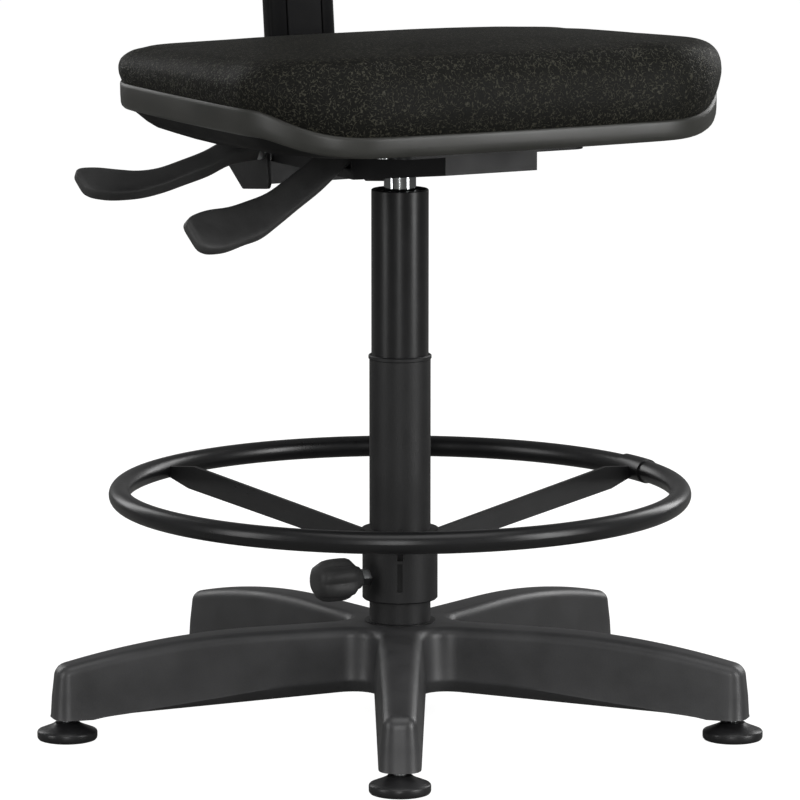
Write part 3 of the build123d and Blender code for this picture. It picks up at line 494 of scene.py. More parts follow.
def settle(piece):
    """Replaces a piece's mesh by the result of its modifiers."""
    depsgraph = bpy.context.evaluated_depsgraph_get()
    result = bpy.data.meshes.new_from_object(piece.evaluated_get(depsgraph))
    piece.modifiers.clear()
    piece.data = result
    return piece


def cut_box(piece, low, high):
    """Cuts a block between two corners out of a piece."""
    (x0, y0, z0), (x1, y1, z1) = low, high
    block = [[(x0, y0, z), (x1, y0, z), (x1, y1, z), (x0, y1, z)] for z in (z0, z1)]
    tool = skinned("tool", block)
    change = piece.modifiers.new("cut", "BOOLEAN")
    change.operation = "DIFFERENCE"
    change.solver = "EXACT"
    change.object = tool
    settle(piece)
    bpy.data.objects.remove(tool)


def dress(piece, slot, body, *nodes):
    """Gives a piece its finish and its body, and hides the CAD nodes it stands for."""
    piece.data.materials.clear()
    piece.data.materials.append(finish_for(slot))
    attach(piece, body)
    if nodes:
        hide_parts(*nodes)


ARC_STEPS = 14
SIDE_STEPS = 18


def rounded_outline(half_w, half_d, corner, bow=0.0):
    """Points round a rectangle with round corners and sides that bow out in the middle."""
    a, b = half_w - bow, half_d - bow
    quarters = ((1, 1), (-1, 1), (-1, -1), (1, -1))
    points = []
    for turn, (sx, sy) in enumerate(quarters):
        for k in range(ARC_STEPS + 1):
            angle = radians(90.0 * turn + 90.0 * k / ARC_STEPS)
            x, y = sx * (a - corner) + corner * cos(angle), sy * (b - corner) + corner * sin(angle)
            points.append((x, y))
        nx, ny = quarters[(turn + 1) % 4]
        end_x = nx * (a - corner) + corner * cos(angle)
        end_y = ny * (b - corner) + corner * sin(angle)
        for k in range(1, SIDE_STEPS):
            t = k / SIDE_STEPS
            points.append((x + (end_x - x) * t, y + (end_y - y) * t))
    return [
        (x + bow * x / a * (1 - (y / b) ** 2), y + bow * y / b * (1 - (x / a) ** 2))
        for x, y in points
    ]


def smooth_stations(stations, steps):
    """Catmull-Rom samples through rows of numbers."""
    rows = [stations[0], *stations, stations[-1]]
    samples = []
    for before, start, end, after in zip(rows, rows[1:], rows[2:], rows[3:]):
        for k in range(steps):
            t = k / steps
            sample = []
            for a, b, c, d in zip(before, start, end, after):
                square = (2 * a - 5 * b + 4 * c - d) * t * t
                cube = (3 * b - a - 3 * c + d) * t ** 3
                sample.append(0.5 * (2 * b + (c - a) * t + square + cube))
            samples.append(sample)
    samples.append(list(stations[-1]))
    return samples


def lathe(bm, profile, centre, segments, axis=Vector((0, 0, 1)), flute=None):
    """Turns a profile of (radius, distance along the axis) in millimetres about an axis.

    Flute scales the radius by the angle and the distance along."""
    turn = Vector((0, 0, 1)).rotation_difference(axis).to_matrix()
    loops = []
    for radius, along in profile:
        loop = []
        for k in range(segments):
            angle = 2 * pi * k / segments
            r = radius * MM * (flute(angle, along) if flute else 1.0)
            spoke = Vector((r * cos(angle), r * sin(angle), along * MM))
            loop.append(Vector(centre) + turn @ spoke)
        loops.append(loop)
    add_skin(bm, loops)


def ease(t):
    """A share that starts and ends gently, held between none and whole."""
    t = min(1.0, max(0.0, t))
    return t * t * (3 - 2 * t)


# ---- pads -------------------------------------------------------------------------------
SWELL_FRAMES = 20
PAD_PRESSURE = 4.0
EDGE_STEPS = 6
ROUNDS_BEFORE_SWELL = 4
ROUNDS_AFTER_SWELL = 6


def smooth_modifier(piece, rounds):
    """Evens out a pad's grid."""
    smooth = piece.modifiers.new("smooth", "SMOOTH")
    smooth.factor = 0.5
    smooth.iterations = rounds


def remesh_pad(piece):
    """Rebuilds a pad on an even grid, so that it can stretch alike everywhere."""
    remesh = piece.modifiers.new("remesh", "REMESH")
    remesh.mode = "VOXEL"
    remesh.voxel_size = sizes().voxel
    settle(piece)
    smooth_modifier(piece, ROUNDS_BEFORE_SWELL)
    return settle(piece)


def swell(piece, cap, held):
    """Puffs a closed pad with cloth pressure; points where held is true stay where they are."""
    start = [v.co.copy() for v in piece.data.vertices]
    group = piece.vertex_groups.new(name="held")
    group.add([i for i, p in enumerate(start) if held(p)], 1.0, "REPLACE")
    cloth = piece.modifiers.new("cloth", "CLOTH")
    settings = cloth.settings
    settings.use_pressure = True
    settings.uniform_pressure_force = PAD_PRESSURE
    settings.effector_weights.gravity = 0.0
    settings.vertex_group_mass = "held"
    cloth.point_cache.frame_start = 1
    cloth.point_cache.frame_end = SWELL_FRAMES
    for step in range(1, SWELL_FRAMES + 1):
        bpy.context.scene.frame_set(step)
    settle(piece)
    bpy.context.scene.frame_set(1)
    moves = [vertex.co - origin for vertex, origin in zip(piece.data.vertices, start)]
    share = min(1.0, cap / max(move.length for move in moves))
    for vertex, origin, move in zip(piece.data.vertices, start, moves):
        vertex.co = origin + move * share


def round_off(piece):
    """One subdivision of the puffed pad, with its grid smoothed away."""
    smooth_modifier(piece, ROUNDS_AFTER_SWELL)
    subdivide = piece.modifiers.new("subdivide", "SUBSURF")
    subdivide.levels = 1
    subdivide.render_levels = 1
    settle(piece)
    piece.data.shade_smooth()


def fit_box(piece, axis, low, high):
    """Stretches a pad along one axis so that it ends exactly at low and high."""
    values = [v.co[axis] for v in piece.data.vertices]
    old_low, old_high = min(values), max(values)
    for vertex in piece.data.vertices:
        share = (vertex.co[axis] - old_low) / (old_high - old_low)
        vertex.co[axis] = low + share * (high - low)


def quarter_turn(steps):
    """Angles from flat to upright."""
    return [radians(90.0 * k / steps) for k in range(steps + 1)]


# The seat's outline, and the heights of its band, pad and dish. The dish's insets are millimetres.
SHELL_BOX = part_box("seat_shell")
SEAT_CENTRE = (SHELL_BOX[0] + SHELL_BOX[1]) / 2
SEAT_HALF_W = (SHELL_BOX[1].x - SHELL_BOX[0].x) / 2
SEAT_HALF_D = (SHELL_BOX[1].y - SHELL_BOX[0].y) / 2
SEAT_CORNER = 84.0 * MM
SEAT_CORNER_LEAST = 14.0 * MM
SEAT_BOW = 7.0 * MM
BAND_FALL_START = -155.0 * MM
BAND_FALL_END = -228.0 * MM
BAND_TOP_SIDE = 562.0 * MM
BAND_TOP_FRONT = 541.0 * MM
BAND_LOW_SIDE = 538.5 * MM
BAND_LOW_FRONT = 522.5 * MM
PAD_TOP_REAR = 593.0 * MM
PAD_TOP_FRONT = 612.0 * MM
PAD_RIM_DROP = 4.0 * MM
PAD_FRONT_STRETCH = 0.6
PAD_EDGE_OUT = 1.5 * MM
PAD_OVERHANG = 3.5 * MM
PAD_OVERHANG_RISE = 22.0 * MM
PAD_WAIST = 3.0 * MM
PAD_HELD = 1.0 * MM
DISH_RIM = 28.0
DISH_FOOT = 98.0
DISH_UNDER = SHELL_BOX[0].z
DISH_SHOULDER = 523.0 * MM
DISH_SHALLOWER = 13.0 * MM
DISH_STEP_START = 10.0 * MM
DISH_STEP_LENGTH = 70.0 * MM
SHELL_SHARP = 32.0
UNDERSIDE_GAP = 0.3 * MM
# Blocks cut from the dish: room for the mechanism, and for the lift lever's arm.
SHELL_CUTS = (
    ((-94.0 * MM, -170.0 * MM, 0.4), (94.0 * MM, 0.25, 516.5 * MM)),
    ((-140.0 * MM, -48.0 * MM, 0.49), (-93.0 * MM, 10.0 * MM, 513.0 * MM)),
)


def seat_loops(levels):
    """The seat's outline at each level of (inset, curve), where a curve gives height by depth."""
    loops = []
    for inset, curve in levels:
        corner = max(SEAT_CORNER - inset, SEAT_CORNER_LEAST)
        points = rounded_outline(SEAT_HALF_W - inset, SEAT_HALF_D - inset, corner, SEAT_BOW)
        placed = [(x, y + SEAT_CENTRE.y) for x, y in points]
        loops.append([(x, y, curve(y)) for x, y in placed])
    return loops


def in_metres(levels):
    """Levels whose insets, the first of each pair, were given in millimetres."""
    return [(inset * MM, curve) for inset, curve in levels]


def front_fall(y):
    """Share of the band's waterfall at a depth: none along the sides, whole along the front."""
    return ease((BAND_FALL_START - y) / (BAND_FALL_START - BAND_FALL_END))


def band_top(y):
    return BAND_TOP_SIDE + (BAND_TOP_FRONT - BAND_TOP_SIDE) * front_fall(y)


def band_low(y):
    return BAND_LOW_SIDE + (BAND_LOW_FRONT - BAND_LOW_SIDE) * front_fall(y)


def pad_top(y):
    """Height of the pad's crown: it climbs a little towards the sitter's knees."""
    share = (SEAT_CENTRE.y + SEAT_HALF_D - y) / (2 * SEAT_HALF_D)
    return PAD_TOP_REAR + (PAD_TOP_FRONT - PAD_TOP_REAR) * share


def pad_rounding(drop):
    """A height in the pad's round edge, which is taller along the front."""
    return lambda y: pad_top(y) - PAD_RIM_DROP - drop * (1 + PAD_FRONT_STRETCH * front_fall(y))


def dish_foot(y):
    """The dish is deep behind, over the back's pivot, and shallow in front."""
    return DISH_UNDER + DISH_SHALLOWER * (1 - ease((y - DISH_STEP_START) / DISH_STEP_LENGTH))


def dish(share):
    """Height of the dish's outside, from its rim down to its foot."""
    return lambda y: min(band_low(y), DISH_SHOULDER) * (1 - share) + dish_foot(y) * share


def level(height):
    """The same height, given in millimetres, at every depth."""
    return lambda y: height * MM


def follow(curve, rise=0.0):
    """A height that follows one of the seat's curves, some millimetres above it."""
    return lambda y: curve(y) + rise * MM


def between(low, high, share):
    """A height part of the way from one curve to another."""
    return lambda y: low(y) + (high(y) - low(y)) * share


class CHAIR_OT_seat_cushion(Operator):
    """Seat pad: moulded foam under vinyl, crowned, with round edges over the shell's band"""

    bl_idname = "drafting_chair.seat_cushion"
    bl_label = "Seat Cushion"

    def execute(self, context):
        s = sizes()
        tucked_foot = [
            (6.0, follow(band_top, -9.0)),
            (3.0, follow(band_top, -4.0)),
            (1.4, follow(band_top)),
            (-1.0, follow(band_top, 8.0)),
        ]
        crown = [
            (60.0, follow(pad_top, -3.5)),
            (100.0, follow(pad_top, -2.5)),
            (150.0, follow(pad_top, -2.0)),
        ]
        edge = []
        for angle in quarter_turn(EDGE_STEPS):
            inset = s.seat_edge_reach * (1 - cos(angle)) - PAD_EDGE_OUT
            edge.append((inset, pad_rounding(s.seat_edge * (1 - sin(angle)))))
        levels = in_metres(tucked_foot) + edge + in_metres(crown)
        pad = remesh_pad(skinned("seat_cushion_cover", seat_loops(levels)))
        swell(pad, s.seat_swell, lambda p: p.z < band_top(p.y) - PAD_HELD)
        round_off(pad)
        self.hold_to_shell(pad, s.seat_crown)
        dress(pad, "vinyl", "seat_frame", "seat_cushion")
        return {"FINISHED"}

    def hold_to_shell(self, pad, crown):
        """Keeps the pad's crown, its overhang and its tucked-in foot at their real sizes."""
        points = [v.co for v in pad.data.vertices]
        over = max(co.z - pad_top(co.y) for co in points) - crown
        half_w = max(abs(co.x) for co in points)
        half_d = max(abs(co.y - SEAT_CENTRE.y) for co in points)
        fit_x = (SEAT_HALF_W + PAD_OVERHANG) / half_w - 1
        fit_y = (SEAT_HALF_D + PAD_OVERHANG) / half_d - 1
        for co in points:
            waist = band_top(co.y) - PAD_WAIST
            if co.z > waist:
                room = pad_top(co.y) - waist
                co.z = waist + (co.z - waist) * room / (room + over)
                share = min(1.0, (co.z - waist) / PAD_OVERHANG_RISE)
                co.x *= 1 + fit_x * share
                co.y = SEAT_CENTRE.y + (co.y - SEAT_CENTRE.y) * (1 + fit_y * share)


# The back's pivot and hollow, and the back pad's sizes before it is hollowed and leaned back.
PIVOT = Vector((0.0, 0.144, 0.495))
BACK_LEAN = radians(6.0)
BACK_CURVE_Y = -0.492
BACK_CURVE_RADIUS = 649.6 * MM
BACK_LOW = 0.742
BACK_HIGH = 1.114
BACK_HALF_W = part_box("back_cushion")[1].x
BACK_HALF_H = (BACK_HIGH - BACK_LOW) / 2
BACK_MIDDLE = (BACK_HIGH + BACK_LOW) / 2
BACK_THICK = 50.0 * MM
BACK_EDGE = 24.0 * MM
BACK_EDGE_INSET = 1.5 * MM
BACK_RIM_DROP = 4.0 * MM
BACK_CROWN = 1.0 * MM
BACK_HELD = 9.0 * MM
BACK_CORNER = 92.0 * MM
BACK_CORNER_LEAST = 12.0 * MM


def lean(x, y, z):
    """A point of the back or the upright, leaned back about the pivot."""
    dy, dz = y - PIVOT.y, z - PIVOT.z
    return (
        x,
        PIVOT.y + dy * cos(BACK_LEAN) + dz * sin(BACK_LEAN),
        PIVOT.z - dy * sin(BACK_LEAN) + dz * cos(BACK_LEAN),
    )


class CHAIR_OT_back_cushion(Operator):
    """Back pad: moulded foam under vinyl, hollowed to the sitter's back, with a round edge"""

    bl_idname = "drafting_chair.back_cushion"
    bl_label = "Back Cushion"

    def execute(self, context):
        rim = BACK_THICK - BACK_RIM_DROP - BACK_EDGE
        side = [(5.0, 0.0), (2.5, 6.0 * MM), (1.5, 14.0 * MM), (1.5, 23.0 * MM)]
        edge = [
            (BACK_EDGE_INSET + BACK_EDGE * (1 - cos(angle)), rim + BACK_EDGE * sin(angle))
            for angle in quarter_turn(EDGE_STEPS)[1:]
        ]
        crown = [(60.0, BACK_THICK - 1.5 * MM), (100.0, BACK_THICK), (140.0, BACK_THICK)]
        loops = []
        for inset, rise in in_metres(side) + edge + in_metres(crown):
            corner = max(BACK_CORNER - inset, BACK_CORNER_LEAST)
            points = rounded_outline(BACK_HALF_W - inset, BACK_HALF_H - inset, corner)
            loops.append([(x, y, rise) for x, y in points])
        pad = remesh_pad(skinned("back_cushion_cover", loops))
        swell(pad, sizes().back_swell, lambda p: p.z < BACK_HELD)
        round_off(pad)
        fit_box(pad, 0, -BACK_HALF_W, BACK_HALF_W)
        fit_box(pad, 1, -BACK_HALF_H, BACK_HALF_H)
        fit_box(pad, 2, 0.0, BACK_THICK + BACK_CROWN)
        for vertex in pad.data.vertices:
            x, up, rise = vertex.co
            radius = BACK_CURVE_RADIUS - rise
            vertex.co = lean(x, BACK_CURVE_Y + sqrt(radius * radius - x * x), BACK_MIDDLE + up)
        dress(pad, "vinyl", "backrest", "back_cushion")
        return {"FINISHED"}


class CHAIR_OT_seat_shell(Operator):
    """Seat shell and board: a moulded dish whose rounded band falls in a wave to the front"""

    bl_idname = "drafting_chair.seat_shell"
    bl_label = "Seat Shell"

    def execute(self, context):
        inner = [
            (55.0, level(519.5)),
            (DISH_RIM + 6.0, follow(dish(0.0), 3.0)),
            (6.0, follow(band_low, 3.2)),
        ]
        band = [
            (3.2, follow(band_low, 4.0)),
            (3.2, follow(band_top, -1.4)),
            (2.7, follow(band_top, -0.4)),
            (1.9, follow(band_top)),
            (0.9, follow(band_top, -0.4)),
            (0.2, follow(band_top, -1.5)),
            (0.0, follow(band_top, -3.5)),
            (0.1, between(band_low, band_top, 0.5)),
            (0.5, follow(band_low, 5.5)),
            (1.4, follow(band_low, 2.6)),
            (3.2, follow(band_low, 0.8)),
            (6.0, follow(band_low)),
            (12.0, between(dish(0.0), band_low, 0.85)),
            (DISH_RIM - 6.0, between(dish(0.0), band_low, 0.3)),
            (DISH_RIM + 2.0, dish(0.02)),
        ]
        tail = [
            (DISH_RIM + (DISH_FOOT - DISH_RIM) * share, dish(share))
            for share in (0.25, 0.5, 0.75, 0.95)
        ]
        tail += [(DISH_FOOT + 3.0, follow(dish_foot, 0.2)), (DISH_FOOT + 8.0, dish_foot)]
        shell = skinned("seat_shell_moulding", seat_loops(in_metres(inner + band + tail)))
        for low, high in SHELL_CUTS:
            cut_box(shell, low, high)
        shell.data.shade_smooth()
        shell.data.set_sharp_from_angle(angle=radians(SHELL_SHARP))
        dress(shell, "shell_plastic", "seat_frame", "seat_shell")
        # Painted shade: the dish's faces below the band take a near-black copy of the shell's
        # plastic.
        shell.data.materials.append(finish_for("shell_painted_shade"))
        for polygon in shell.data.polygons:
            if polygon.center.z < band_low(polygon.center.y) - UNDERSIDE_GAP:
                polygon.material_index = 1

        sheet = [
            (58.0, level(520.0)),
            (40.0, follow(dish(0.0), 4.0)),
            (7.0, follow(band_low, 5.0)),
            (7.0, follow(band_low, 11.0)),
            (58.0, follow(band_low, 11.0)),
        ]
        board = skinned("seat_board_plywood", seat_loops(in_metres(sheet)))
        dress(board, "plywood", "seat_frame", "seat_board")
        return {"FINISHED"}


# ---- base -------------------------------------------------------------------------------
BASE_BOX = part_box("star_base")
LEG_COUNT = 5
BASE_TURN = radians(-28.0)
LEG_END = 316.0 * MM
LEG_TOP = BASE_BOX[1].z
LEG_UNDER = BASE_BOX[0].z
LEG_TIP_TOP = 63.0 * MM
LEG_FLAT = 130.0 * MM
LEG_ROOT_HALF = 23.3 * MM
LEG_TIP_HALF = 18.0 * MM
LEG_TIP_CORNER = 14.0 * MM
LEG_TIP_CORNER_LEAST = 2.0 * MM
LEG_WALL = 9.5 * MM
LEG_HOLLOW_RISE = 26.0 * MM
# A side's inset just above the crease, and how much further in it leans, in millimetres.
LEG_SIDE_INSET = 0.9
LEG_SIDE_DRAFT = 3.0
LEG_SIDE_STEPS = 26
LEG_CORNER_STEPS = 5
LEG_HOLLOW_STEPS = 10
SHOULDER_STEPS = 7
# The lower edge rises steeply from the foot round the glide, then slowly towards the hub.
FOOT_START = 282.0 * MM
FOOT_END = 270.0 * MM
FOOT_STEP = 2.5 * MM
EDGE_AT_HUB = 31.0 * MM
EDGE_FALL = 10.0 * MM
CREASE_END = 262.0 * MM
CREASE_FADE = 150.0 * MM
CREASE_LEAST = 0.05
SLEEVE_RADIUS = 31.0 * MM
BORE_FOOT = 58.0 * MM
GLIDE_CIRCLE = 302.0 * MM


def leg_direction(leg):
    return BASE_TURN + 2 * pi * leg / LEG_COUNT


def along_leg(direction, r, s):
    """A place at a radius along a direction and some way to its side."""
    return (
        r * sin(direction) + s * cos(direction),
        -r * cos(direction) + s * sin(direction),
    )


def glide_centre(leg):
    """Where a leg's glide stands on the floor."""
    return (*along_leg(leg_direction(leg), GLIDE_CIRCLE, 0.0), 0.0)


def leg_top_height(r):
    """Height of a leg's top at a radius: level over the hub, then falling ever faster."""
    share = min(1.0, max(0.0, (r - LEG_FLAT) / (LEG_END - LEG_FLAT)))
    return LEG_TOP - (LEG_TOP - LEG_TIP_TOP) * share ** 2


def leg_under_height(r):
    """Height of a leg's lower edge at a radius."""
    if r > FOOT_START:
        return LEG_UNDER
    if r > FOOT_END:
        return LEG_UNDER + FOOT_STEP * (FOOT_START - r) / (FOOT_START - FOOT_END)
    return EDGE_AT_HUB - EDGE_FALL * r / FOOT_END


def crease_share(r):
    """How much of the turned-in lower edge is left: all by the hub, next to none at the tip."""
    share = min(1.0, max(0.0, (CREASE_END - r) / CREASE_FADE))
    return CREASE_LEAST + (1 - CREASE_LEAST) * share


def star_loop(inset, height, blend):
    """The star's outline drawn in by an inset, and the number of points down one leg's side.

    Each leg gives its side, tip and other side, and then the hollow before the next leg."""
    half_step = pi / LEG_COUNT
    reach = (LEG_ROOT_HALF + blend) / sin(half_step)
    root_r = reach * cos(half_step)
    end = LEG_END - inset
    tip_corner = max(LEG_TIP_CORNER - inset, LEG_TIP_CORNER_LEAST)
    corner_r = end - tip_corner

    def half(r):
        share = max(0.0, (r - root_r) / (LEG_END - root_r))
        return LEG_ROOT_HALF + (LEG_TIP_HALF - LEG_ROOT_HALF) * share - inset

    side = []
    for k in range(LEG_SIDE_STEPS + 1):
        r = root_r + (corner_r - root_r) * k / LEG_SIDE_STEPS
        side.append((r, half(r)))
    last_half = half(corner_r)
    for angle in quarter_turn(LEG_CORNER_STEPS)[1:]:
        side.append((corner_r + tip_corner * sin(angle), last_half - tip_corner * (1 - cos(angle))))
    for share in (0.6, 0.25):
        side.append((end, (last_half - tip_corner) * share))

    loop = []
    radius = blend + inset
    for leg in range(LEG_COUNT):
        direction = leg_direction(leg)
        for r, s in [(r, -s) for r, s in side] + [(r, s) for r, s in reversed(side)]:
            loop.append((*along_leg(direction, r, s), height(r)))
        for k in range(1, LEG_HOLLOW_STEPS):
            angle = (half_step - pi / 2) + (pi - 2 * half_step) * k / LEG_HOLLOW_STEPS
            r = reach - radius * cos(angle)
            x, y = along_leg(direction + half_step, r, radius * sin(angle))
            loop.append((x, y, height(hypot(x, y))))
    return loop, len(side)


def close_star(bm, row, side_count, bore_z):
    """Closes the star over its legs and up to the hub's bore; returns the bore's edge."""
    per_leg = len(row) // LEG_COUNT
    inner = []
    for first in range(0, len(row), per_leg):
        last = first + 2 * side_count - 1
        for k in range(side_count - 1):
            bm.faces.new((row[first + k], row[first + k + 1], row[last - k - 1], row[last - k]))
        inner.append(row[first])
        inner += row[last:first + per_leg]
    bore = []
    for vertex in inner:
        away = Vector((vertex.co.x, vertex.co.y)).normalized() * SLEEVE_RADIUS
        bore.append(bm.verts.new((away.x, away.y, bore_z)))
    join_rows(bm, inner, bore)
    return bore


class CHAIR_OT_star_base(Operator):
    """Star base: five hollow moulded legs with round shoulders, blended into the hub"""

    bl_idname = "drafting_chair.star_base"
    bl_label = "Star Base"

    def execute(self, context):
        s = sizes()
        bm = bmesh.new()
        loops = []
        for inset, height in self.levels(s.leg_shoulder, s.leg_crease):
            loop, side_count = star_loop(inset, height, s.leg_blend)
            loops.append(loop)
        rows = add_skin(bm, loops, closed=False)
        top_bore = close_star(bm, rows[-1], side_count, LEG_TOP)
        low_bore = close_star(bm, rows[0], side_count, BORE_FOOT)
        join_rows(bm, top_bore, low_bore)
        # Each glide's stem screws up into a boss inside the leg's tip.
        boss = [(5.6, 19.0), (9.5, 19.0), (9.8, 20.0), (10.5, 45.0), (5.6, 45.0)]
        for leg in range(LEG_COUNT):
            lathe(bm, boss, glide_centre(leg), segments=32)
        base = finish_mesh("star_base_moulding", bm, sharp=30.0)
        dress(base, "moulded_nylon", "base", "star_base")
        return {"FINISHED"}

    def levels(self, shoulder, crease):
        """Insets and heights from inside the hollow, round the lower edge and up to the top."""

        def turned_in(share, rise=0.0):
            """A height in the turned-in lower edge, which fades out towards the tip."""
            return lambda r: leg_under_height(r) + crease * crease_share(r) * share + rise * MM

        def side(share):
            """A height up the leg's drafted side, from above the crease to below the shoulder."""
            return lambda r: (leg_under_height(r) + crease) * (1 - share) + (
                leg_top_height(r) - shoulder
            ) * share

        def below_top(drop):
            return lambda r: leg_top_height(r) - drop

        levels = [
            (LEG_WALL, lambda r: leg_under_height(r) + LEG_HOLLOW_RISE),
            (9.0 * MM, leg_under_height),
            (6.5 * MM, leg_under_height),
            (5.6 * MM, turned_in(0.09)),
            (0.8 * MM, turned_in(0.89)),
            (0.4 * MM, turned_in(1.0, 0.3)),
            (0.9 * MM, turned_in(1.0, 2.3)),
        ]
        foot, draft = LEG_SIDE_INSET * MM, LEG_SIDE_DRAFT * MM
        levels += [(foot + draft * share, side(share)) for share in (0.33, 0.66)]
        for angle in quarter_turn(SHOULDER_STEPS):
            inset = (LEG_SIDE_INSET + LEG_SIDE_DRAFT) * MM + shoulder * (1 - cos(angle))
            levels.append((inset, below_top(shoulder * (1 - sin(angle)))))
        return levels


class CHAIR_OT_glides(Operator):
    """Glide pads: turned nylon feet with a soft round rim"""

    bl_idname = "drafting_chair.glides"
    bl_label = "Glide Pads"

    def execute(self, context):
        profile = [
            (23.6, 0.0), (24.8, 0.4), (25.7, 1.6), (26.0, 3.0), (26.0, 6.6), (25.7, 7.6),
            (24.9, 8.4), (21.0, 10.0), (16.0, 12.0), (12.4, 13.7), (11.2, 14.6), (10.4, 15.3),
            (9.6, 15.5), (4.2, 15.5),
        ]
        bm = bmesh.new()
        for leg in range(LEG_COUNT):
            lathe(bm, profile, glide_centre(leg), segments=72)
        pads = finish_mesh("glide_pad_mouldings", bm, sharp=40.0)
        dress(pads, "glide_nylon", "base", "glide_pads")
        return {"FINISHED"}


# ---- levers and knob --------------------------------------------------------------------
# Heights in millimetres; the dip is a share of the lever's reach.
ARM_HEIGHT = 17.0
GRIP_HEIGHT = 14.0
LEVER_DIP = 0.16
LEVER_POINTS = 40
LEVER_STEPS = 4
LEVER_SHARP = 50.0
# A section between an ellipse and a rectangle.
SECTION_POWER = 2.0 / 4.6


def lever_loops(root, reach, fall, splay, tilt, arm_w, grip_w, root_out):
    """Sections of a lever: a stout arm that dips, spreads into a tilted paddle and ends in a dome.

    Widths are millimetres. The arm goes on behind its root by root_out, a share of the reach."""
    # Each station: distance out and dip as shares, then height and width in millimetres.
    stations = [
        (-root_out, -root_out * 0.8, ARM_HEIGHT, arm_w),
        (0.0, 0.0, ARM_HEIGHT, arm_w),
        (0.15, 0.38, ARM_HEIGHT * 0.98, arm_w),
        (0.31, 0.67, ARM_HEIGHT * 0.94, arm_w),
        (0.45, 0.9, ARM_HEIGHT * 0.88, arm_w * 1.06),
        (0.58, 1.0, ARM_HEIGHT * 0.85, arm_w * 1.25),
        (0.70, 0.98, ARM_HEIGHT * 0.8, grip_w * 0.9),
        (0.83, 0.91, GRIP_HEIGHT, grip_w),
        (0.93, 0.84, GRIP_HEIGHT * 0.95, grip_w * 0.93),
        (0.975, 0.8, GRIP_HEIGHT * 0.86, grip_w * 0.78),
        (0.993, 0.785, GRIP_HEIGHT * 0.66, grip_w * 0.62),
        (1.0, 0.78, GRIP_HEIGHT * 0.4, grip_w * 0.44),
    ]
    turn = Matrix.Rotation(splay, 3, "Z")
    across = turn @ Vector((0, cos(tilt), sin(tilt)))
    upward = turn @ Vector((0, -sin(tilt), cos(tilt)))
    loops = []
    for along, down, height, width in smooth_stations(stations, LEVER_STEPS):
        out = Vector((-reach * along, 0, -reach * LEVER_DIP * down - fall * along))
        centre = turn @ out + Vector(root)
        loop = []
        for k in range(LEVER_POINTS):
            angle = 2 * pi * k / LEVER_POINTS
            c, n = cos(angle), sin(angle)
            u = (abs(c) ** SECTION_POWER) * (1 if c >= 0 else -1) * width / 2
            v = (abs(n) ** SECTION_POWER) * (1 if n >= 0 else -1) * height / 2
            loop.append(centre + across * u * MM + upward * v * MM)
        loops.append(loop)
    return loops


class CHAIR_OT_levers(Operator):
    """Lift and recline levers: moulded paddles on the mechanism's sitter's-right side"""

    bl_idname = "drafting_chair.levers"
    bl_label = "Levers"

    def execute(self, context):
        low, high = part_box("recline_lever")
        recline_loops = lever_loops(
            root=(high.x, PIVOT.y, 489.0 * MM),
            reach=high.x - low.x,
            fall=0.0,
            splay=0.0,
            tilt=radians(32.0),
            arm_w=21.0,
            grip_w=36.0,
            root_out=0.178,
        )
        recline = skinned("recline_lever_moulding", recline_loops, LEVER_SHARP)
        dress(recline, "lever_plastic", "recline_handle", "recline_lever", "recline_cam")
        lift_loops = lever_loops(
            root=(-62.0 * MM, 0.0, 499.9 * MM),
            reach=180.0 * MM,
            fall=31.0 * MM,
            splay=radians(20.0),
            tilt=radians(48.0),
            arm_w=28.0,
            grip_w=40.0,
            root_out=0.02,
        )
        lift = skinned("lift_lever_moulding", lift_loops, LEVER_SHARP)
        dress(lift, "lever_plastic", "lift_handle", "lift_lever")
        return {"FINISHED"}


# Length and rise in millimetres, as a lathe's profile is; the start in metres from the column.
KNOB_LENGTH = 44.0
KNOB_LOBE_RISE = 0.6
KNOB_START = 41.5 * MM
KNOB_AXIS = Vector((-0.9994, -0.0349, 0.0))
LOBE_DEPTH = 0.17
LOBE_SOFTNESS = 0.015
LOBE_FROM = 0.1
LOBE_FADE_IN = 0.15
LOBE_FADE_OUT = 0.2


class CHAIR_OT_clamp_knob(Operator):
    """Clamp knob: a lobed hand knob that locks the foot ring's collar"""

    bl_idname = "drafting_chair.clamp_knob"
    bl_label = "Clamp Knob"

    def execute(self, context):
        low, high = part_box("clamp_knob")
        lobes = sizes().knob_lobes
        outer = (high.z - low.z) / 2 / MM + KNOB_LOBE_RISE
        start = KNOB_AXIS * KNOB_START + Vector((0, 0, (low.z + high.z) / 2))
        # Radius and distance along, as shares of the knob's own.
        profile = [
            (0.3, 0.0), (0.46, 0.0), (0.52, 0.02), (0.56, 0.08), (0.74, 0.16), (0.92, 0.24),
            (0.985, 0.32), (1.0, 0.42), (1.0, 0.6), (0.985, 0.72), (0.93, 0.83), (0.8, 0.92),
            (0.6, 0.975), (0.35, 0.995), (0.12, 1.0),
        ]

        def flute(angle, along):
            """Hollows between the lobes, which run out at both ends."""
            t = along / KNOB_LENGTH
            fade_in = min(1.0, max(0.0, (t - LOBE_FROM) / LOBE_FADE_IN))
            fade_out = min(1.0, max(0.0, (1.0 - t) / LOBE_FADE_OUT))
            hollow = 1.0 - sqrt(cos(lobes / 2 * angle) ** 2 + LOBE_SOFTNESS)
            return 1.0 - LOBE_DEPTH * fade_in * fade_out * hollow

        bm = bmesh.new()
        scaled = [(outer * r, KNOB_LENGTH * t) for r, t in profile]
        lathe(bm, scaled, start, segments=120, axis=KNOB_AXIS, flute=flute)
        knob = finish_mesh("clamp_knob_moulding", bm, sharp=45.0)
        dress(knob, "lever_plastic", "ring_knob", "clamp_knob")
        return {"FINISHED"}


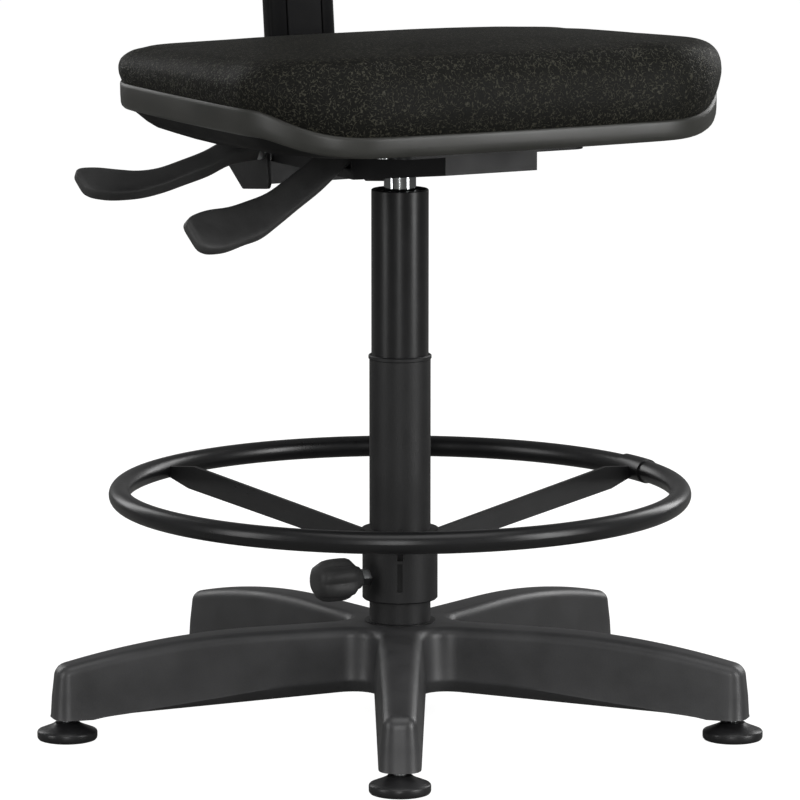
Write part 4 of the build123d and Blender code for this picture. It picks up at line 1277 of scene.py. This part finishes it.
# ---- upright covers ---------------------------------------------------------------------
# The covers' foot in metres, and their section in millimetres.
COVER_LOW = 516.0 * MM
COVER_SPLIT = 182.0
COVER_HALF = 32.5
COVER_THICK = 13.0
GROOVE = 17.5


class CHAIR_OT_upright_covers(Operator):
    """Upright covers: two moulded halves; the front one has a groove down each side of its face"""

    bl_idname = "drafting_chair.upright_covers"
    bl_label = "Upright Covers"

    def execute(self, context):
        half, split, groove = COVER_HALF, COVER_SPLIT, GROOVE
        front = [
            (half, split),
            (half, split - 5.0),
            (half - 0.4, split - 6.8),
            (half - 1.6, split - 8.4),
            (half - 3.6, split - 9.5),
            (groove + 5.0, split - 11.9),
            (groove + 1.0, split - 12.6),
            (groove + 0.5, split - 12.4),
            (groove + 0.3, split - 11.0),
            (groove - 0.3, split - 11.0),
            (groove - 0.6, split - 12.4),
            (groove - 1.2, split - 12.9),
            (groove * 0.5, split - 13.0),
        ]
        rear = [
            (half, split + 0.15),
            (half, split + 3.5),
            (half - 0.7, split + 6.4),
            (half - 2.4, split + 8.9),
            (half - 5.2, split + 10.5),
            (half - 8.5, split + 11.0),
            (half * 0.4, split + 11.0),
        ]
        self.add_cover("upright_front_moulding", front, "upright_front_cover")
        self.add_cover("upright_rear_moulding", rear, "upright_rear_cover")
        return {"FINISHED"}

    def add_cover(self, name, section, node):
        """One cover from the right half of its section; it shrinks a little at each end."""
        outline = section + [(-x, y) for x, y in reversed(section)]
        low_end = [(0.0, 1.2), (0.6, 0.3), (2.0, 0.0)]
        high_end = [(257.0, 0.0), (258.4, 0.3), (259.0, 1.2)]
        loops = []
        for z, shrink in low_end + high_end:
            loop = []
            for x, y in outline:
                pulled = COVER_SPLIT + (y - COVER_SPLIT) * (1 - shrink / COVER_THICK)
                drawn_in = x - shrink * (1 if x > 0 else -1)
                loop.append(lean(drawn_in * MM, pulled * MM, COVER_LOW + z * MM))
            loops.append(loop)
        dress(skinned(name, loops, sharp=28.0), "cover_plastic", "upright", node)


# ---- carried-over CAD pieces ------------------------------------------------------------
# The hub sleeve's rim is blacked after fitting, so it takes the pressings' finish.
BLACKED = {"hub_sleeve": "satin_coat"}


class CHAIR_OT_frame_finishes(Operator):
    """Finishes for the tubes, pressings, fixings and other pieces that the CAD model shows"""

    bl_idname = "drafting_chair.frame_finishes"
    bl_label = "Frame Finishes"

    def execute(self, context):
        for name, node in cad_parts.items():
            for index, material in enumerate(node.data.materials):
                slot = BLACKED.get(name, material.name.split(".")[0])
                if not slot.startswith("chair_"):
                    node.data.materials[index] = finish_for(slot)
        return {"FINISHED"}


# ---- studio -----------------------------------------------------------------------------
CAMERA_TURN = radians(-28.0)
CAMERA_PLACE = Vector((-2.347, -4.415, 1.080))
CAMERA_AIM = Vector((0.0, 0.0, 0.2815))
CAMERA_REACH = 100.0
LENS = 261.3
LAMP_AIM = (0.0, 0.0, 0.45)
WHITE = (1.0, 1.0, 1.0, 1.0)
FLOOR_HALF = 20.0
FLOOR_GLOW = 0.95
SURROUND_SEEN = 1.0
SURROUND_LIGHT = 0.2
# Name, place (right of the camera's line, towards it, up), width and height, and watts.
LAMPS = (
    ("rim_left", (-2.2, -2.4, 1.5), (1.0, 1.8), 18.0),
    ("rim_right", (2.2, -2.2, 1.5), (1.0, 1.8), 30.0),
    ("side_left", (-2.8, 1.5, 1.05), (0.8, 2.1), 28.0),
    ("side_right", (2.7, 1.6, 1.05), (0.8, 2.1), 56.0),
    ("top", (0.2, 0.9, 3.2), (2.6, 2.0), 30.0),
    ("front_strip", (-0.2, 4.2, 1.15), (0.25, 2.3), 42.0),
)


def aim(thing, target):
    """Turns a camera or light, which looks down its own -Z, towards a target."""
    way = Vector(target) - thing.location
    thing.rotation_euler = way.to_track_quat("-Z", "Y").to_euler()


def from_camera(right, towards, up):
    """A place given to the camera's right, towards it and up from the floor under the chair."""
    side = Vector((cos(CAMERA_TURN), sin(CAMERA_TURN), 0.0))
    near = Vector((sin(CAMERA_TURN), -cos(CAMERA_TURN), 0.0))
    return side * right + near * towards + Vector((0, 0, up))


class CHAIR_OT_stage(Operator):
    """Studio: pale floor, soft boxes, even surroundings and the camera"""

    bl_idname = "drafting_chair.stage"
    bl_label = "Studio"

    def execute(self, context):
        scene = context.scene
        scene.view_settings.view_transform = "Standard"
        self.place_camera(scene)
        self.light_surroundings(scene)
        self.lay_floor()
        self.hang_lamps(scene)
        return {"FINISHED"}

    def place_camera(self, scene):
        data = bpy.data.cameras.new("camera")
        data.lens = LENS
        data.clip_end = CAMERA_REACH
        camera = bpy.data.objects.new("camera", data)
        camera.location = CAMERA_PLACE
        aim(camera, CAMERA_AIM)
        scene.collection.objects.link(camera)
        scene.camera = camera

    def light_surroundings(self, scene):
        """Surroundings that are white to the lens and dim to the chair, as the floor is."""
        world = bpy.data.worlds.new("studio")
        scene.world = world
        world.use_nodes = True
        background = world.node_tree.nodes["Background"]
        background.inputs["Color"].default_value = WHITE
        straight = add_node(world.node_tree, "ShaderNodeLightPath").outputs["Is Camera Ray"]
        strength = add_node(
            world.node_tree,
            "ShaderNodeMath",
            {0: straight, 1: SURROUND_SEEN - SURROUND_LIGHT, 2: SURROUND_LIGHT},
            operation="MULTIPLY_ADD",
        )
        world.node_tree.links.new(strength.outputs[0], background.inputs["Strength"])

    def lay_floor(self):
        """Floor of matt painted board: pale, with hardly any shine.

        It glows only for rays straight from the lens, so it doesn't light the chair from below."""
        bm = bmesh.new()
        corners = ((-1, -1), (1, -1), (1, 1), (-1, 1))
        bm.faces.new([bm.verts.new((x * FLOOR_HALF, y * FLOOR_HALF, 0)) for x, y in corners])
        floor = finish_mesh("floor", bm)
        material, tree = new_material("pale_floor")
        place = add_node(tree, "ShaderNodeTexCoord").outputs["Object"]
        cloud = add_node(tree, "ShaderNodeTexNoise", {"Vector": place, "Scale": 0.5})
        gloss = add_node(
            tree,
            "ShaderNodeMapRange",
            {"Value": cloud.outputs["Fac"], "To Min": 0.85, "To Max": 0.95},
        )
        straight = add_node(tree, "ShaderNodeLightPath").outputs["Is Camera Ray"]
        glow = add_node(
            tree, "ShaderNodeMath", {0: straight, 1: FLOOR_GLOW}, operation="MULTIPLY"
        )
        shader = add_node(
            tree,
            "ShaderNodeBsdfPrincipled",
            {
                "Base Color": opaque(colours().floor),
                "Roughness": gloss.outputs[0],
                "Specular IOR Level": 0.0,
                "Emission Color": WHITE,
                "Emission Strength": glow.outputs[0],
            },
        )
        add_node(tree, "ShaderNodeOutputMaterial", {"Surface": shader.outputs[0]})
        floor.data.materials.append(material)

    def hang_lamps(self, scene):
        """Soft boxes round the chair, which the lens doesn't see."""
        for name, place, (width, height), watts in LAMPS:
            data = bpy.data.lights.new(name, "AREA")
            data.shape = "RECTANGLE"
            data.size, data.size_y = width, height
            data.energy = watts
            lamp = bpy.data.objects.new(name, data)
            lamp.location = from_camera(*place)
            lamp.visible_camera = False
            aim(lamp, LAMP_AIM)
            scene.collection.objects.link(lamp)


OPERATORS = (
    CHAIR_OT_stage,
    CHAIR_OT_frame_finishes,
    CHAIR_OT_seat_cushion,
    CHAIR_OT_back_cushion,
    CHAIR_OT_seat_shell,
    CHAIR_OT_star_base,
    CHAIR_OT_glides,
    CHAIR_OT_levers,
    CHAIR_OT_clamp_knob,
    CHAIR_OT_upright_covers,
)


class CHAIR_PT_panel(Panel):
    """Sizes, colours and a button for each piece"""

    bl_idname = "CHAIR_PT_panel"
    bl_label = "Drafting Chair"
    bl_space_type = "VIEW_3D"
    bl_region_type = "UI"
    bl_category = "Drafting Chair"

    def draw(self, context):
        for group in (sizes(), colours()):
            for name in group.__annotations__:
                self.layout.prop(group, name)
        for operator in OPERATORS:
            self.layout.operator(operator.bl_idname)


CLASSES = (ChairSizes, ChairColours, *OPERATORS, CHAIR_PT_panel)


def register():
    for cls in CLASSES:
        bpy.utils.register_class(cls)
    bpy.types.Scene.drafting_chair_sizes = PointerProperty(type=ChairSizes)
    bpy.types.Scene.drafting_chair_colours = PointerProperty(type=ChairColours)


def unregister():
    del bpy.types.Scene.drafting_chair_colours
    del bpy.types.Scene.drafting_chair_sizes
    for cls in reversed(CLASSES):
        bpy.utils.unregister_class(cls)


def main():
    register()
    for operator in OPERATORS:
        group, name = operator.bl_idname.split(".")
        getattr(getattr(bpy.ops, group), name)()


if __name__ == "__main__":
    main()
